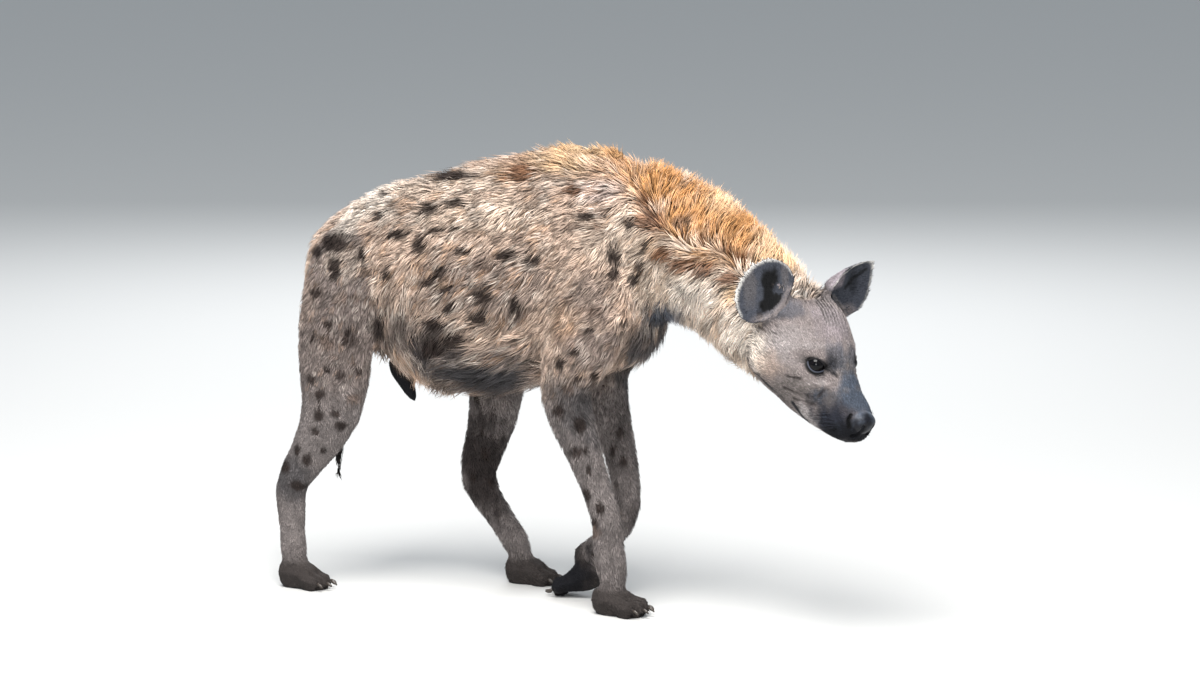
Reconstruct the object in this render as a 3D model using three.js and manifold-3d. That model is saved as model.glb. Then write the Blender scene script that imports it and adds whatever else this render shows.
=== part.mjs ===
// Spotted hyena, life size, walking with its head lowered and turned to its right.
// Millimetres, +Z up, +X towards the shoulders, +Y to the animal's left.
// Every outline is the outer line of the coat, out to the tips of the hair.

import * as THREE from 'three';
import { mergeVertices } from 'three/addons/utils/BufferGeometryUtils.js';
import Module from 'manifold-3d';

const wasm = await Module();
wasm.setup();

// Driving dimensions

const CUT = 0.6;
const SLIVER = 0.15;
const MERGE_DISTANCE = 1e-4;
const LEG_MARGIN = 12;
const LEG_OVERHANG = 28;

const HEAD_YAW = -26.4;
const HEAD_PITCH = 33.7;
const HEAD_ROLL = -5;
const BETWEEN_EYES = [1073, -135, 486];

const EYE_RADIUS = 17;
const CLAW_LENGTH = 15;
const CLAW_RADIUS = 4.4;
const EAR_WALL = 4.5;
const EAR_FLOOR = 10;
const EAR_OPEN = 30;
const WRIST_HEIGHT = 56;
const KNEE_HEIGHT = { fore: 408, hind: 384 };

// How finely each form is faceted: rings along it and sides round it

const TRUNK_FACETS = { rows: 18, sides: 16 };
const NECK_FACETS = { rows: 10, sides: 14 };
const HEAD_FACETS = { rows: 20, sides: 18 };
const LEG_FACETS = { rows: 16, sides: 10 };
const LEG_ROOM_FACETS = { rows: 8, sides: 8 };
const TAIL_FACETS = { rows: 9, sides: 7 };
const SHEATH_FACETS = { rows: 6, sides: 8 };
const PALM_FACETS = { rows: 5, sides: 7 };
const TOE_FACETS = { rows: 3, sides: 5 };
const CLAW_FACETS = { rows: 3, sides: 4 };
const EAR_FACETS = { rows: 8, sides: 14 };
const SEAT_FACETS = { rows: 6, sides: 8 };
const EYE_FACETS = { rows: 8, sides: 10 };
const NOSE_FACETS = { rows: 6, sides: 10 };
const HOLLOW_FACETS = { rows: 4, sides: 6 };

const COAT_COLOUR = 0x9a8a78;
const MANE_COLOUR = 0xb98a5a;
const LEG_COLOUR = 0x6f6259;
const FACE_COLOUR = 0x6d625d;
const FOOT_COLOUR = 0x4d443f;
const DARK_COLOUR = 0x2b2727;
const EYE_COLOUR = 0x1c1310;
const CLAW_COLOUR = 0x3a322c;

const radians = THREE.MathUtils.degToRad;

// Solids: a three.js geometry made into a closed solid, and back

function solid(geometry) {
  const bare = geometry.clone();
  bare.deleteAttribute('normal');
  bare.deleteAttribute('uv');
  const merged = mergeVertices(bare, MERGE_DISTANCE);
  return new wasm.Manifold(new wasm.Mesh({
    numProp: 3,
    vertProperties: new Float32Array(merged.attributes.position.array),
    triVerts: new Uint32Array(merged.index.array),
  }));
}

function largestPiece(manifold) {
  const pieces = manifold.decompose();
  return pieces.reduce((a, b) => (a.volume() > b.volume() ? a : b));
}

// Edges shorter than SLIVER are drawn together, and crumbs left by a cut are dropped.

function geometryOf(manifold) {
  const { vertProperties, triVerts } = largestPiece(manifold.simplify(SLIVER)).getMesh();
  const geometry = new THREE.BufferGeometry();
  geometry.setAttribute('position', new THREE.BufferAttribute(vertProperties, 3));
  geometry.setIndex(new THREE.BufferAttribute(triVerts, 1));
  geometry.computeVertexNormals();
  return geometry;
}

function union(...solids) {
  return solids.reduce((a, b) => a.add(b));
}

const CURVE_TENSION = 0.5;
const POINT_SIZE = 1;

// A rounded form drawn out along a curve. It starts as a sphere. Each ring of the sphere
// moves to its place on the curve and takes the size that the nearest stations give:
// up, down and side are the half-sizes, and crown and keel say how full the upper and lower
// halves are (2 is an ellipse, less is sharper, more is squarer).

function curveThrough(points) {
  return new THREE.CatmullRomCurve3(points, false, 'catmullrom', CURVE_TENSION);
}

function rounded(value, fullness) {
  return Math.sign(value) * Math.abs(value) ** (2 / fullness);
}

function drawnOut(stations, { rows, sides, left = [0, 1, 0], grow = 0, widen = 0 }) {
  const places = curveThrough(stations.map((s) => new THREE.Vector3(...s.at)));
  const sizes = curveThrough(stations.map((s) => new THREE.Vector3(s.up, s.down, s.side)));
  const crowns = curveThrough(stations.map((s) => new THREE.Vector3(s.crown ?? 2, s.keel ?? 2, 0)));
  const geometry = new THREE.SphereGeometry(1, sides, rows);
  const position = geometry.attributes.position;
  for (let row = 0; row <= rows; row += 1) {
    const t = row / rows;
    const centre = places.getPoint(t);
    const along = places.getTangent(t);
    const side = new THREE.Vector3(...left);
    side.addScaledVector(along, -side.dot(along)).normalize();
    const up = new THREE.Vector3().crossVectors(along, side);
    const size = sizes.getPoint(t);
    const full = crowns.getPoint(t);
    const end = row === 0 || row === rows;
    const push = row === 0 ? -grow : grow;
    for (let column = 0; column <= sides; column += 1) {
      const angle = (2 * Math.PI * column) / sides;
      const upper = Math.sin(angle) >= 0;
      const fullness = upper ? full.x : full.y;
      const across = rounded(Math.cos(angle), fullness);
      const height = rounded(Math.sin(angle), fullness);
      const point = centre.clone();
      if (end) {
        point.addScaledVector(along, push);
      } else {
        point.addScaledVector(side, -across * (Math.max(size.z, POINT_SIZE) + grow + widen));
        point.addScaledVector(up, height * (Math.max(upper ? size.x : size.y, POINT_SIZE) + grow));
      }
      const index = row * (sides + 1) + column;
      position.setXYZ(index, point.x, point.y, point.z);
    }
  }
  return solid(geometry);
}

function turned(at, turn) {
  const euler = new THREE.Euler(...turn.map(radians), 'ZYX');
  return new THREE.Matrix4().makeRotationFromEuler(euler).setPosition(...at);
}

// A muscle or pad: an ellipsoid with its own half-sizes, turned and placed.

function mass(at, radii, turn, { rows, sides }) {
  const geometry = new THREE.SphereGeometry(1, sides, rows);
  geometry.rotateX(Math.PI / 2);
  geometry.scale(...radii);
  return solid(geometry.applyMatrix4(turned(at, turn)));
}

// The trunk: from the rump to the front of the chest

const trunkStations = [
  { at: [-22, 0, 560], up: 1, down: 1, side: 1 },
  { at: [-6, 0, 560], up: 66, down: 60, side: 56 },
  { at: [34, 0, 565], up: 115, down: 100, side: 92 },
  { at: [88, 0, 568], up: 152, down: 122, side: 112, crown: 1.9 },
  { at: [150, 0, 570], up: 182, down: 145, side: 120, crown: 1.85 },
  { at: [215, 0, 566], up: 208, down: 178, side: 128, crown: 1.85 },
  { at: [285, 0, 560], up: 234, down: 193, side: 138, crown: 1.85 },
  { at: [355, 0, 560], up: 248, down: 196, side: 143, crown: 1.85 },
  { at: [425, 0, 566], up: 256, down: 184, side: 140, crown: 1.8 },
  { at: [495, 0, 575], up: 260, down: 172, side: 132, crown: 1.75 },
  { at: [565, 0, 592], up: 258, down: 172, side: 124, crown: 1.75 },
  { at: [622, 0, 608], up: 240, down: 166, side: 112, crown: 1.75 },
  { at: [676, 0, 620], up: 208, down: 122, side: 92, crown: 1.8 },
  { at: [716, 0, 622], up: 120, down: 74, side: 56 },
  { at: [738, 0, 622], up: 1, down: 1, side: 1 },
];

// The neck: from inside the chest to the back of the skull, with the mane along its top

const neckStations = [
  { at: [560, 0, 664], up: 1, down: 1, side: 1 },
  { at: [625, -2, 660], up: 152, down: 110, side: 84, crown: 1.7 },
  { at: [690, -8, 660], up: 156, down: 130, side: 92, crown: 1.7 },
  { at: [760, -21, 650], up: 145, down: 128, side: 92, crown: 1.7 },
  { at: [825, -40, 626], up: 133, down: 124, side: 90, crown: 1.75 },
  { at: [885, -62, 594], up: 122, down: 120, side: 90, crown: 1.8 },
  { at: [940, -84, 560], up: 113, down: 114, side: 90, crown: 1.85 },
  { at: [985, -101, 536], up: 88, down: 92, side: 80 },
  { at: [1010, -110, 523], up: 1, down: 1, side: 1 },
];

const neckLeft = [0.28, 0.96, 0];

// The head, in its own frame: +X to the nose, origin midway between the eyes

const headStations = [
  { at: [-152, 0, -14], up: 1, down: 1, side: 1 },
  { at: [-130, 0, -12], up: 78, down: 98, side: 82, keel: 2.2 },
  { at: [-95, 0, -10], up: 88, down: 112, side: 94, crown: 1.9, keel: 2.2 },
  { at: [-60, 0, -15], up: 90, down: 105, side: 91, crown: 1.75, keel: 2.3 },
  { at: [-25, 0, -22], up: 83, down: 93, side: 79, crown: 1.7, keel: 2.3 },
  { at: [5, 0, -28], up: 71, down: 88, side: 65, crown: 1.75, keel: 2.3 },
  { at: [35, 0, -34], up: 54, down: 76, side: 53, crown: 1.8, keel: 2.3 },
  { at: [65, 0, -38], up: 45, down: 61, side: 45, crown: 2.1, keel: 2.3 },
  { at: [95, 0, -40], up: 40, down: 47, side: 40, crown: 2.3, keel: 2.3 },
  { at: [117, 0, -38], up: 32, down: 33, side: 34, crown: 2.3, keel: 2.1 },
  { at: [127, 0, -34], up: 24, down: 21, side: 25 },
  { at: [133, 0, -33], up: 1, down: 1, side: 1 },
];

const headPlace = turned(BETWEEN_EYES, [HEAD_ROLL, HEAD_PITCH, HEAD_YAW]);

function onHead(manifold) {
  return manifold.transform(headPlace.elements);
}

// Legs: each is one list of stations from inside the trunk down to the top of the paw.
// up is towards the front of the leg, and down is towards its back.

const legStations = {
  fore_right: [
    { at: [545, -84, 745], up: 1, down: 1, side: 1 },
    { at: [552, -86, 715], up: 50, down: 55, side: 26 },
    { at: [585, -92, 630], up: 82, down: 92, side: 38 },
    { at: [598, -98, 545], up: 84, down: 96, side: 42 },
    { at: [572, -104, 470], up: 70, down: 80, side: 43 },
    { at: [548, -105, 410], up: 52, down: 54, side: 41 },
    { at: [561, -101, 345], up: 46, down: 47, side: 37 },
    { at: [588, -96, 273], up: 34, down: 34, side: 31 },
    { at: [611, -92, 205], up: 31, down: 30, side: 29 },
    { at: [624, -90, 165], up: 31, down: 32, side: 30 },
    { at: [627, -88, 115], up: 30, down: 33, side: 28 },
    { at: [634, -87, 62], up: 31, down: 31, side: 29 },
    { at: [640, -86, 28], up: 1, down: 1, side: 1 },
  ],
  hind_right: [
    { at: [98, -72, 690], up: 1, down: 1, side: 1 },
    { at: [98, -76, 660], up: 56, down: 46, side: 28 },
    { at: [94, -90, 585], up: 86, down: 72, side: 46 },
    { at: [88, -98, 505], up: 82, down: 80, side: 50 },
    { at: [86, -102, 425], up: 78, down: 77, side: 48 },
    { at: [80, -101, 350], up: 68, down: 65, side: 43 },
    { at: [54, -97, 288], up: 54, down: 50, side: 37 },
    { at: [18, -93, 232], up: 40, down: 40, side: 31 },
    { at: [-8, -91, 190], up: 33, down: 36, side: 29 },
    { at: [-9, -90, 145], up: 31, down: 32, side: 27 },
    { at: [-7, -90, 90], up: 27, down: 27, side: 25 },
    { at: [-3, -90, 52], up: 29, down: 30, side: 28 },
    { at: [2, -90, 24], up: 1, down: 1, side: 1 },
  ],
  hind_left: [
    { at: [112, 68, 670], up: 1, down: 1, side: 1 },
    { at: [125, 70, 640], up: 50, down: 44, side: 26 },
    { at: [172, 80, 575], up: 82, down: 118, side: 40 },
    { at: [236, 91, 500], up: 80, down: 112, side: 46 },
    { at: [292, 99, 432], up: 66, down: 84, side: 46 },
    { at: [316, 105, 375], up: 56, down: 62, side: 43 },
    { at: [306, 107, 308], up: 51, down: 51, side: 38 },
    { at: [287, 109, 245], up: 42, down: 43, side: 32 },
    { at: [274, 111, 196], up: 38, down: 42, side: 29 },
    { at: [296, 112, 150], up: 30, down: 33, side: 27 },
    { at: [332, 113, 102], up: 27, down: 28, side: 25 },
    { at: [358, 113, 62], up: 28, down: 28, side: 27 },
    { at: [372, 113, 30], up: 1, down: 1, side: 1 },
  ],
  fore_left: [
    { at: [545, 84, 745], up: 1, down: 1, side: 1 },
    { at: [552, 86, 715], up: 50, down: 55, side: 26 },
    { at: [582, 92, 630], up: 82, down: 92, side: 38 },
    { at: [588, 98, 545], up: 84, down: 92, side: 42 },
    { at: [555, 102, 470], up: 70, down: 74, side: 42 },
    { at: [530, 100, 410], up: 52, down: 52, side: 40 },
    { at: [541, 94, 345], up: 46, down: 46, side: 36 },
    { at: [568, 82, 280], up: 36, down: 36, side: 31 },
    { at: [589, 68, 215], up: 31, down: 31, side: 29 },
    { at: [597, 56, 168], up: 29, down: 31, side: 29 },
    { at: [582, 47, 128], up: 29, down: 27, side: 28 },
    { at: [552, 41, 96], up: 28, down: 27, side: 29 },
    { at: [522, 38, 74], up: 28, down: 28, side: 31 },
    { at: [500, 37, 58], up: 1, down: 1, side: 1 },
  ],
};

function leg(name) {
  return drawnOut(legStations[name], LEG_FACETS);
}

// The room that the upper part of a leg takes in the body, a little wider than the leg

function legRoom(name, gap) {
  return drawnOut(legStations[name], {
    ...LEG_ROOM_FACETS,
    grow: LEG_MARGIN + gap,
    widen: LEG_OVERHANG,
  });
}

// Tail: it hangs behind the thighs, tucked forward between the hind legs

const tailStations = [
  { at: [30, 0, 625], up: 1, down: 1, side: 1 },
  { at: [14, 0, 604], up: 24, down: 24, side: 24 },
  { at: [-6, 0, 556], up: 22, down: 22, side: 23 },
  { at: [-4, -2, 490], up: 19, down: 19, side: 20 },
  { at: [14, -5, 415], up: 17, down: 17, side: 18 },
  { at: [34, -8, 345], up: 17, down: 17, side: 18 },
  { at: [47, -10, 280], up: 18, down: 18, side: 19 },
  { at: [50, -12, 225], up: 14, down: 14, side: 14 },
  { at: [47, -13, 190], up: 1, down: 1, side: 1 },
];

const sheathStations = [
  { at: [150, -4, 440], up: 1, down: 1, side: 1 },
  { at: [165, -4, 412], up: 20, down: 20, side: 20 },
  { at: [183, -5, 380], up: 16, down: 16, side: 16 },
  { at: [196, -5, 356], up: 11, down: 11, side: 11 },
  { at: [204, -6, 340], up: 1, down: 1, side: 1 },
];

// Paws: a palm, four toes side by side and four claws, in the paw's own frame.
// +X is towards the toe tips, the sole is at Z = 0, and the origin is under the wrist.
// inward is the side of the paw, along Y, that faces the other legs.

const TOES = [
  { name: 'inner', across: 1, reach: -11, splay: 9 },
  { name: 'second', across: 0.36, reach: 0, splay: 3 },
  { name: 'third', across: -0.36, reach: 0, splay: -3 },
  { name: 'outer', across: -1, reach: -11, splay: -9 },
];

const pawSizes = {
  fore: { length: 82, width: 78, toe: 15.5 },
  hind: { length: 78, width: 68, toe: 13.5 },
};

const standing = { at: [0, 0, 50], facing: [0, 0, 1] };
const lifted = { at: [-24, 0, 0], facing: [-1, 0, 0] };

const pawPlaces = {
  fore_right: { kind: 'fore', inward: 1, at: [624, -86, 0], turn: [0, 0, -6], wrist: standing },
  hind_right: { kind: 'hind', inward: 1, at: [-4, -90, 0], turn: [0, 0, -4], wrist: standing },
  hind_left: { kind: 'hind', inward: -1, at: [360, 113, 0], turn: [0, 0, 3], wrist: standing },
  fore_left: { kind: 'fore', inward: -1, at: [515, 38, 64], turn: [0, 146, 0], wrist: lifted },
};

function toesOf({ inward }) {
  return TOES.map((toe) => ({ ...toe, across: toe.across * inward, splay: toe.splay * inward }));
}

// A toe's and a claw's stations: the part of the way along, then the height and half-sizes
// as shares of the radius. A palm's sides are shares of half its width.

const TOE_STATIONS = [
  { part: 0.2, high: 1.6 },
  { part: 0.38, high: 1.5, up: 1, down: 1.2, side: 0.9 },
  { part: 0.66, high: 1.3, up: 1.08, down: 1.55, side: 1.02 },
  { part: 0.88, high: 1.02, up: 0.84, down: 1.2, side: 0.9 },
  { part: 1, high: 0.8 },
];
const CLAW_STATIONS = [
  { part: 0, high: 1.05 },
  { part: 0.3, high: 1.05, up: 1, down: 1, side: 0.85 },
  { part: 0.85, high: 0.8, up: 0.8, down: 0.8, side: 0.7 },
  { part: 1.12, high: 0.4, up: 0.3, down: 0.3, side: 0.3 },
];
const PALM_STATIONS = [
  { x: -34, high: 0.5 },
  { x: -25, high: 0.5, up: 22, down: 28, side: 0.64 },
  { x: -4, high: 0.5, up: 30, down: 34, side: 0.82 },
  { x: 18, high: 0.5, up: 26, down: 34, side: 0.88 },
  { x: 40, high: 0.43, up: 18, down: 25, side: 0.84 },
  { x: 58, high: 0.35 },
];
const SPLAY_FROM = 0.6;
const CLAW_SUNK = 0.55;

function acrossAt(size, toe, x) {
  const tip = size.length + toe.reach;
  const spread = size.width / 2 - size.toe;
  return toe.across * spread + (x - tip * SPLAY_FROM) * Math.tan(radians(toe.splay));
}

function station(at, { up, down, side }, radius, sideRadius = radius) {
  const size = (share, unit) => (share ? share * unit : POINT_SIZE);
  return { at, up: size(up, radius), down: size(down, radius), side: size(side, sideRadius) };
}

function toeSolid(size, toe) {
  const tip = size.length + toe.reach;
  const stations = TOE_STATIONS.map((row) => {
    const x = tip * row.part;
    return station([x, acrossAt(size, toe, x), size.toe * row.high], row, size.toe);
  });
  return drawnOut(stations, TOE_FACETS);
}

function clawSolid(size, toe, grow = 0) {
  const start = size.length + toe.reach - CLAW_LENGTH * CLAW_SUNK;
  const stations = CLAW_STATIONS.map((row) => {
    const x = start + CLAW_LENGTH * row.part;
    return station([x, acrossAt(size, toe, x), size.toe * row.high], row, CLAW_RADIUS);
  });
  return drawnOut(stations, { ...CLAW_FACETS, grow });
}

function palmSolid(size) {
  const stations = PALM_STATIONS.map((row) => (
    station([row.x, 0, WRIST_HEIGHT * row.high], row, 1, size.width / 2)
  ));
  return drawnOut(stations, PALM_FACETS);
}

// Cutting tools: the half-space that starts a little beyond a plane, on its normal's side

const REACH = 2500;

function beyond(at, normal, gap = CUT / 2) {
  const box = new THREE.BoxGeometry(REACH, REACH, REACH);
  box.translate(0, 0, REACH / 2 + gap);
  const up = new THREE.Vector3(0, 0, 1);
  const facing = new THREE.Vector3(...normal).normalize();
  box.applyQuaternion(new THREE.Quaternion().setFromUnitVectors(up, facing));
  box.translate(...at);
  return solid(box);
}

function parted(whole, at, normal) {
  const opposite = normal.map((value) => -value);
  return [whole.intersect(beyond(at, normal)), whole.intersect(beyond(at, opposite))];
}

const bothSides = (make) => union(make(-1), make(1));

// Trunk, neck and head as one whole

const SEAT = { at: [58, 54, 552], radii: [66, 50, 104], pitch: 14 };

function seatMuscle(side) {
  const [x, y, z] = SEAT.at;
  return mass([x, side * y, z], SEAT.radii, [0, SEAT.pitch, 0], SEAT_FACETS);
}

const wholeBody = union(
  drawnOut(trunkStations, TRUNK_FACETS),
  bothSides(seatMuscle),
  drawnOut(neckStations, { ...NECK_FACETS, left: neckLeft }),
  onHead(drawnOut(headStations, HEAD_FACETS)),
);

// Ears: a cup with a thin wall, whose rings grow from the base in the skull to the rim.
// across and up lie in the plane of the rim. tip and foot say how full the rim's upper and
// lower halves are, as crown and keel do above. lean moves the middle of the cup aside.
// rooted is the stretch of the rim, in degrees from across, that sinks into the cheek.

const ears = {
  right: {
    base: [-124, -56, 38],
    rim: [-138, -98, 61],
    across: [0.793, 0.608, -0.048],
    up: [-0.268, 0.42, 0.867],
    halfAcross: 48,
    halfUp: 63,
    tip: 2.1,
    foot: 2,
    lean: [0, 0, 0],
    rooted: { from: -72, to: 34, sink: 24 },
  },
  left: {
    base: [-131, 47, 39],
    rim: [-113, 95, 85],
    across: [0.185, 0.785, -0.592],
    up: [-0.361, 0.614, 0.702],
    halfAcross: 47,
    halfUp: 59,
    tip: 1.4,
    foot: 3,
    lean: [-8, -8, -2],
    rooted: { from: -150, to: -40, sink: 0 },
  },
};

const ROOT_BLEND = 13;
const LEAN_SCALE = 27 / 4;
const CUP_FALL = 1.3;
const LID_FALL = 6;

function sunkAt(turn, { from, to, sink }) {
  const { smoothstep } = THREE.MathUtils;
  const begun = smoothstep(turn, from - ROOT_BLEND, from + ROOT_BLEND);
  return sink * begun * (1 - smoothstep(turn, to - ROOT_BLEND, to + ROOT_BLEND));
}

// The cup closed by a lid over its rim. wall and floor inset it, and rise lifts the lid.

function closedCup(ear, { grow = 0, wall = 0, floor = 0, rise = 0 } = {}) {
  const { rows, sides } = EAR_FACETS;
  const rimRow = rows / 2;
  const geometry = new THREE.SphereGeometry(1, sides, rows);
  const position = geometry.attributes.position;
  const base = new THREE.Vector3(...ear.base);
  const rim = new THREE.Vector3(...ear.rim);
  const across = new THREE.Vector3(...ear.across).normalize();
  const up = new THREE.Vector3(...ear.up).normalize();
  const lean = new THREE.Vector3(...ear.lean);
  const facing = new THREE.Vector3().crossVectors(across, up);
  for (let row = 0; row <= rows; row += 1) {
    const lid = row > rimRow;
    const step = (lid ? rows - row : row) / rimRow;
    const open = Math.sin((step * Math.PI) / 2);
    const sinking = step ** (lid ? LID_FALL : CUP_FALL);
    const centre = lid ? rim.clone() : base.clone().lerp(rim, step);
    if (lid) {
      centre.addScaledVector(facing, grow + rise);
    } else {
      centre.addScaledVector(facing, (floor - grow) * (1 - step));
      centre.addScaledVector(lean, LEAN_SCALE * step * (1 - step) ** 2);
    }
    for (let column = 0; column <= sides; column += 1) {
      const angle = (2 * Math.PI * column) / sides;
      const fullness = Math.sin(angle) >= 0 ? ear.tip : ear.foot;
      const size = (half) => (step > 0 ? Math.max(0, half * open + grow - wall) : 0);
      const point = centre.clone();
      point.addScaledVector(across, -rounded(Math.cos(angle), fullness) * size(ear.halfAcross));
      point.addScaledVector(up, rounded(Math.sin(angle), fullness) * size(ear.halfUp));
      const turn = THREE.MathUtils.radToDeg(Math.atan2(Math.sin(angle), -Math.cos(angle)));
      point.addScaledVector(facing, -sunkAt(turn, ear.rooted) * sinking);
      position.setXYZ(row * (sides + 1) + column, point.x, point.y, point.z);
    }
  }
  return onHead(solid(geometry));
}

function earSolid(ear) {
  const cavity = closedCup(ear, { wall: EAR_WALL, floor: EAR_FLOOR, rise: EAR_OPEN });
  return closedCup(ear).subtract(cavity);
}

// Eyes, nose pad and mouth, in the head's frame

const EYE_CENTRE = [-3.5, 37.5, 5.5];
const EYE_OPENING = { at: [2, 52, 10], radii: [14, 19, 14], gaze: 52 };
const NOSE = { at: [120, 0, -25], radii: [20, 27, 21], pitch: 18 };
const NOSTRIL = { at: [137, 12.5, -28], radii: [9, 5.5, 6.5], yaw: 28 };
const MOUTH_LINE = -64;
const MOUTH_CORNER = 14;

function eyeSolid(side, grow = 0) {
  const radius = EYE_RADIUS + grow;
  const [x, y, z] = EYE_CENTRE;
  return onHead(mass([x, side * y, z], [radius, radius, radius], [0, 0, 0], EYE_FACETS));
}

function eyeOpening(side) {
  const { at: [x, y, z], radii, gaze } = EYE_OPENING;
  return onHead(mass([x, side * y, z], radii, [0, 0, side * gaze], HOLLOW_FACETS));
}

function noseSolid(grow = 0) {
  const radii = NOSE.radii.map((radius) => radius + grow);
  return onHead(mass(NOSE.at, radii, [0, NOSE.pitch, 0], NOSE_FACETS));
}

function nostril(side) {
  const { at: [x, y, z], radii, yaw } = NOSTRIL;
  return onHead(mass([x, side * y, z], radii, [0, 0, side * yaw], HOLLOW_FACETS));
}

const nose = noseSolid().subtract(bothSides(nostril));

// Nodes: the finished solids, each with its name, colour and roughness

const hyena = new THREE.Group();

function addNode(name, manifold, color, roughness = 0.9) {
  const mesh = new THREE.Mesh(
    geometryOf(manifold),
    new THREE.MeshStandardMaterial({ color, roughness, metalness: 0 }),
  );
  mesh.name = name;
  hyena.add(mesh);
}

// Legs, paws and claws. A leg keeps the flesh of the body round its upper part.

let body = wholeBody;

for (const [name, place] of Object.entries(pawPlaces)) {
  const size = pawSizes[place.kind];
  const frame = turned(place.at, place.turn);
  const inFrame = (manifold) => manifold.transform(frame.elements);
  const wrist = new THREE.Vector3(...place.wrist.at).applyMatrix4(frame).toArray();
  const upTheLeg = new THREE.Vector3(...place.wrist.facing).transformDirection(frame).toArray();
  const whole = union(leg(name), inFrame(palmSolid(size)));
  const [shank, foot] = parted(whole, wrist, upTheLeg);
  const [, lower] = parted(shank, [0, 0, KNEE_HEIGHT[place.kind]], [0, 0, 1]);
  const [upper] = parted(
    wholeBody.add(leg(name)).intersect(legRoom(name, 0)),
    [0, 0, KNEE_HEIGHT[place.kind]],
    [0, 0, 1],
  );
  body = body.subtract(legRoom(name, CUT));
  let paw = union(foot, ...toesOf(place).map((toe) => inFrame(toeSolid(size, toe))));
  paw = paw.intersect(beyond([0, 0, 0], [0, 0, 1], 0));
  for (const toe of toesOf(place)) {
    paw = paw.subtract(inFrame(clawSolid(size, toe, CUT / 2)));
    const claw = inFrame(clawSolid(size, toe)).intersect(beyond([0, 0, 0], [0, 0, 1], 0));
    addNode(`claw_${name}_${toe.name}`, claw, CLAW_COLOUR, 0.45);
  }
  const parts = place.kind === 'fore' ? ['upper_arm', 'forearm'] : ['thigh', 'shank'];
  addNode(`${parts[0]}_${name}`, upper, COAT_COLOUR);
  addNode(`${parts[1]}_${name}`, lower, LEG_COLOUR);
  addNode(`paw_${name}`, paw, FOOT_COLOUR);
}

addNode('tail', drawnOut(tailStations, TAIL_FACETS), COAT_COLOUR);
addNode('sheath', drawnOut(sheathStations, SHEATH_FACETS), DARK_COLOUR);
body = body
  .subtract(drawnOut(tailStations, { ...TAIL_FACETS, grow: CUT }))
  .subtract(drawnOut(sheathStations, { ...SHEATH_FACETS, grow: CUT }));

for (const [name, side] of [['right', -1], ['left', 1]]) {
  addNode(`ear_${name}`, earSolid(ears[name]), FACE_COLOUR);
  addNode(`eye_${name}`, eyeSolid(side), EYE_COLOUR, 0.15);
  body = body
    .subtract(closedCup(ears[name], { grow: CUT / 2 }))
    .subtract(eyeSolid(side, CUT / 2))
    .subtract(eyeOpening(side));
}

addNode('nose_pad', nose, DARK_COLOUR, 0.4);
body = body.subtract(noseSolid(CUT / 2));

// Neck cut behind the skull, then the cut at the base of the neck, then the jaw

function headPoint(point) {
  return new THREE.Vector3(...point).applyMatrix4(headPlace).toArray();
}

function headDirection(direction) {
  return new THREE.Vector3(...direction).transformDirection(headPlace).toArray();
}

const NECK_BASE = { at: [668, 0, 650], facing: [1, 0, 0.12] };
const SKULL_BACK = -119;

const [headWhole, behindHead] = parted(body, headPoint([SKULL_BACK, 0, 0]), headDirection([1, 0, 0]));
const [neck, trunk] = parted(behindHead, NECK_BASE.at, NECK_BASE.facing);

function jawRegion(gap) {
  const under = beyond(headPoint([0, 0, MOUTH_LINE]), headDirection([0, 0, -1]), gap);
  return under.intersect(beyond(headPoint([MOUTH_CORNER, 0, 0]), headDirection([1, 0, 0]), gap));
}

addNode('head', headWhole.subtract(jawRegion(-CUT / 2)), FACE_COLOUR);
addNode('lower_jaw', headWhole.intersect(jawRegion(CUT / 2)), DARK_COLOUR);
addNode('neck', neck, MANE_COLOUR);
addNode('trunk', trunk, COAT_COLOUR);

// The origin is on the floor, at the middle of the whole model's box

const box = new THREE.Box3().setFromObject(hyena);
const middle = box.getCenter(new THREE.Vector3());
hyena.position.set(-middle.x, -middle.y, -box.min.z);

export default hyena;
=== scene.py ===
# %% [markdown]
# # A spotted hyena, life size
# The frame is the body as plain solids, at its real size. This lesson puts a skin inside
# those solids, shapes the face on it, and covers it with a coat of small hair tufts.

# %% Load the frame
import math

import bmesh
import bpy
import numpy as np
from mathutils import Matrix, Vector
from mathutils.bvhtree import BVHTree
from mathutils.kdtree import KDTree


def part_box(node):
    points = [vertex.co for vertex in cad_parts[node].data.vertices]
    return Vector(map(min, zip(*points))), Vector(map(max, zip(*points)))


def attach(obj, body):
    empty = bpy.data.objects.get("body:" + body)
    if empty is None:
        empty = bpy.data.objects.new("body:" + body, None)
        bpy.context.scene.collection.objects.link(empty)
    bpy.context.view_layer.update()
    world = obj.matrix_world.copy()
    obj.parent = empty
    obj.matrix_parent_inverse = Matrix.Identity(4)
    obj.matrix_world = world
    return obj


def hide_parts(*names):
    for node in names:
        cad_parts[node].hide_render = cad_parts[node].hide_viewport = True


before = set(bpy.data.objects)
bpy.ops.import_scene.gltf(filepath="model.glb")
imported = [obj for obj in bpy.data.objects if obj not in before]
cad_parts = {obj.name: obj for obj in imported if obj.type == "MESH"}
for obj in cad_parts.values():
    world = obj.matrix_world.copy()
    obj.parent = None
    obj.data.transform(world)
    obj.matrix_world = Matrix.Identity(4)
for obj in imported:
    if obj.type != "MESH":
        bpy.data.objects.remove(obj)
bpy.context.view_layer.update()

MM = 0.001
TINY = 1e-12
SEED = 7
SIDES = ("right", "left")

# %% [markdown]
# The camera stands where a photographer with a long lens would stand, twelve metres off.
# It is aimed from the right eye, so that the head keeps its place in the frame.

# %% Camera
VIEW_AZIMUTH = math.radians(24)
VIEW_ELEVATION = math.radians(9)
VIEW_DISTANCE = 12.0
LENS_MM = 200.0
SENSOR_MM = 36.0
FRAME_WIDTH, FRAME_HEIGHT = 1200, 675
EYE_TO_AIM = Vector((-0.4897, 0.1689, -0.0092))


def middle_of(node):
    low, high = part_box(node)
    return (Vector(low) + Vector(high)) / 2


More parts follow.
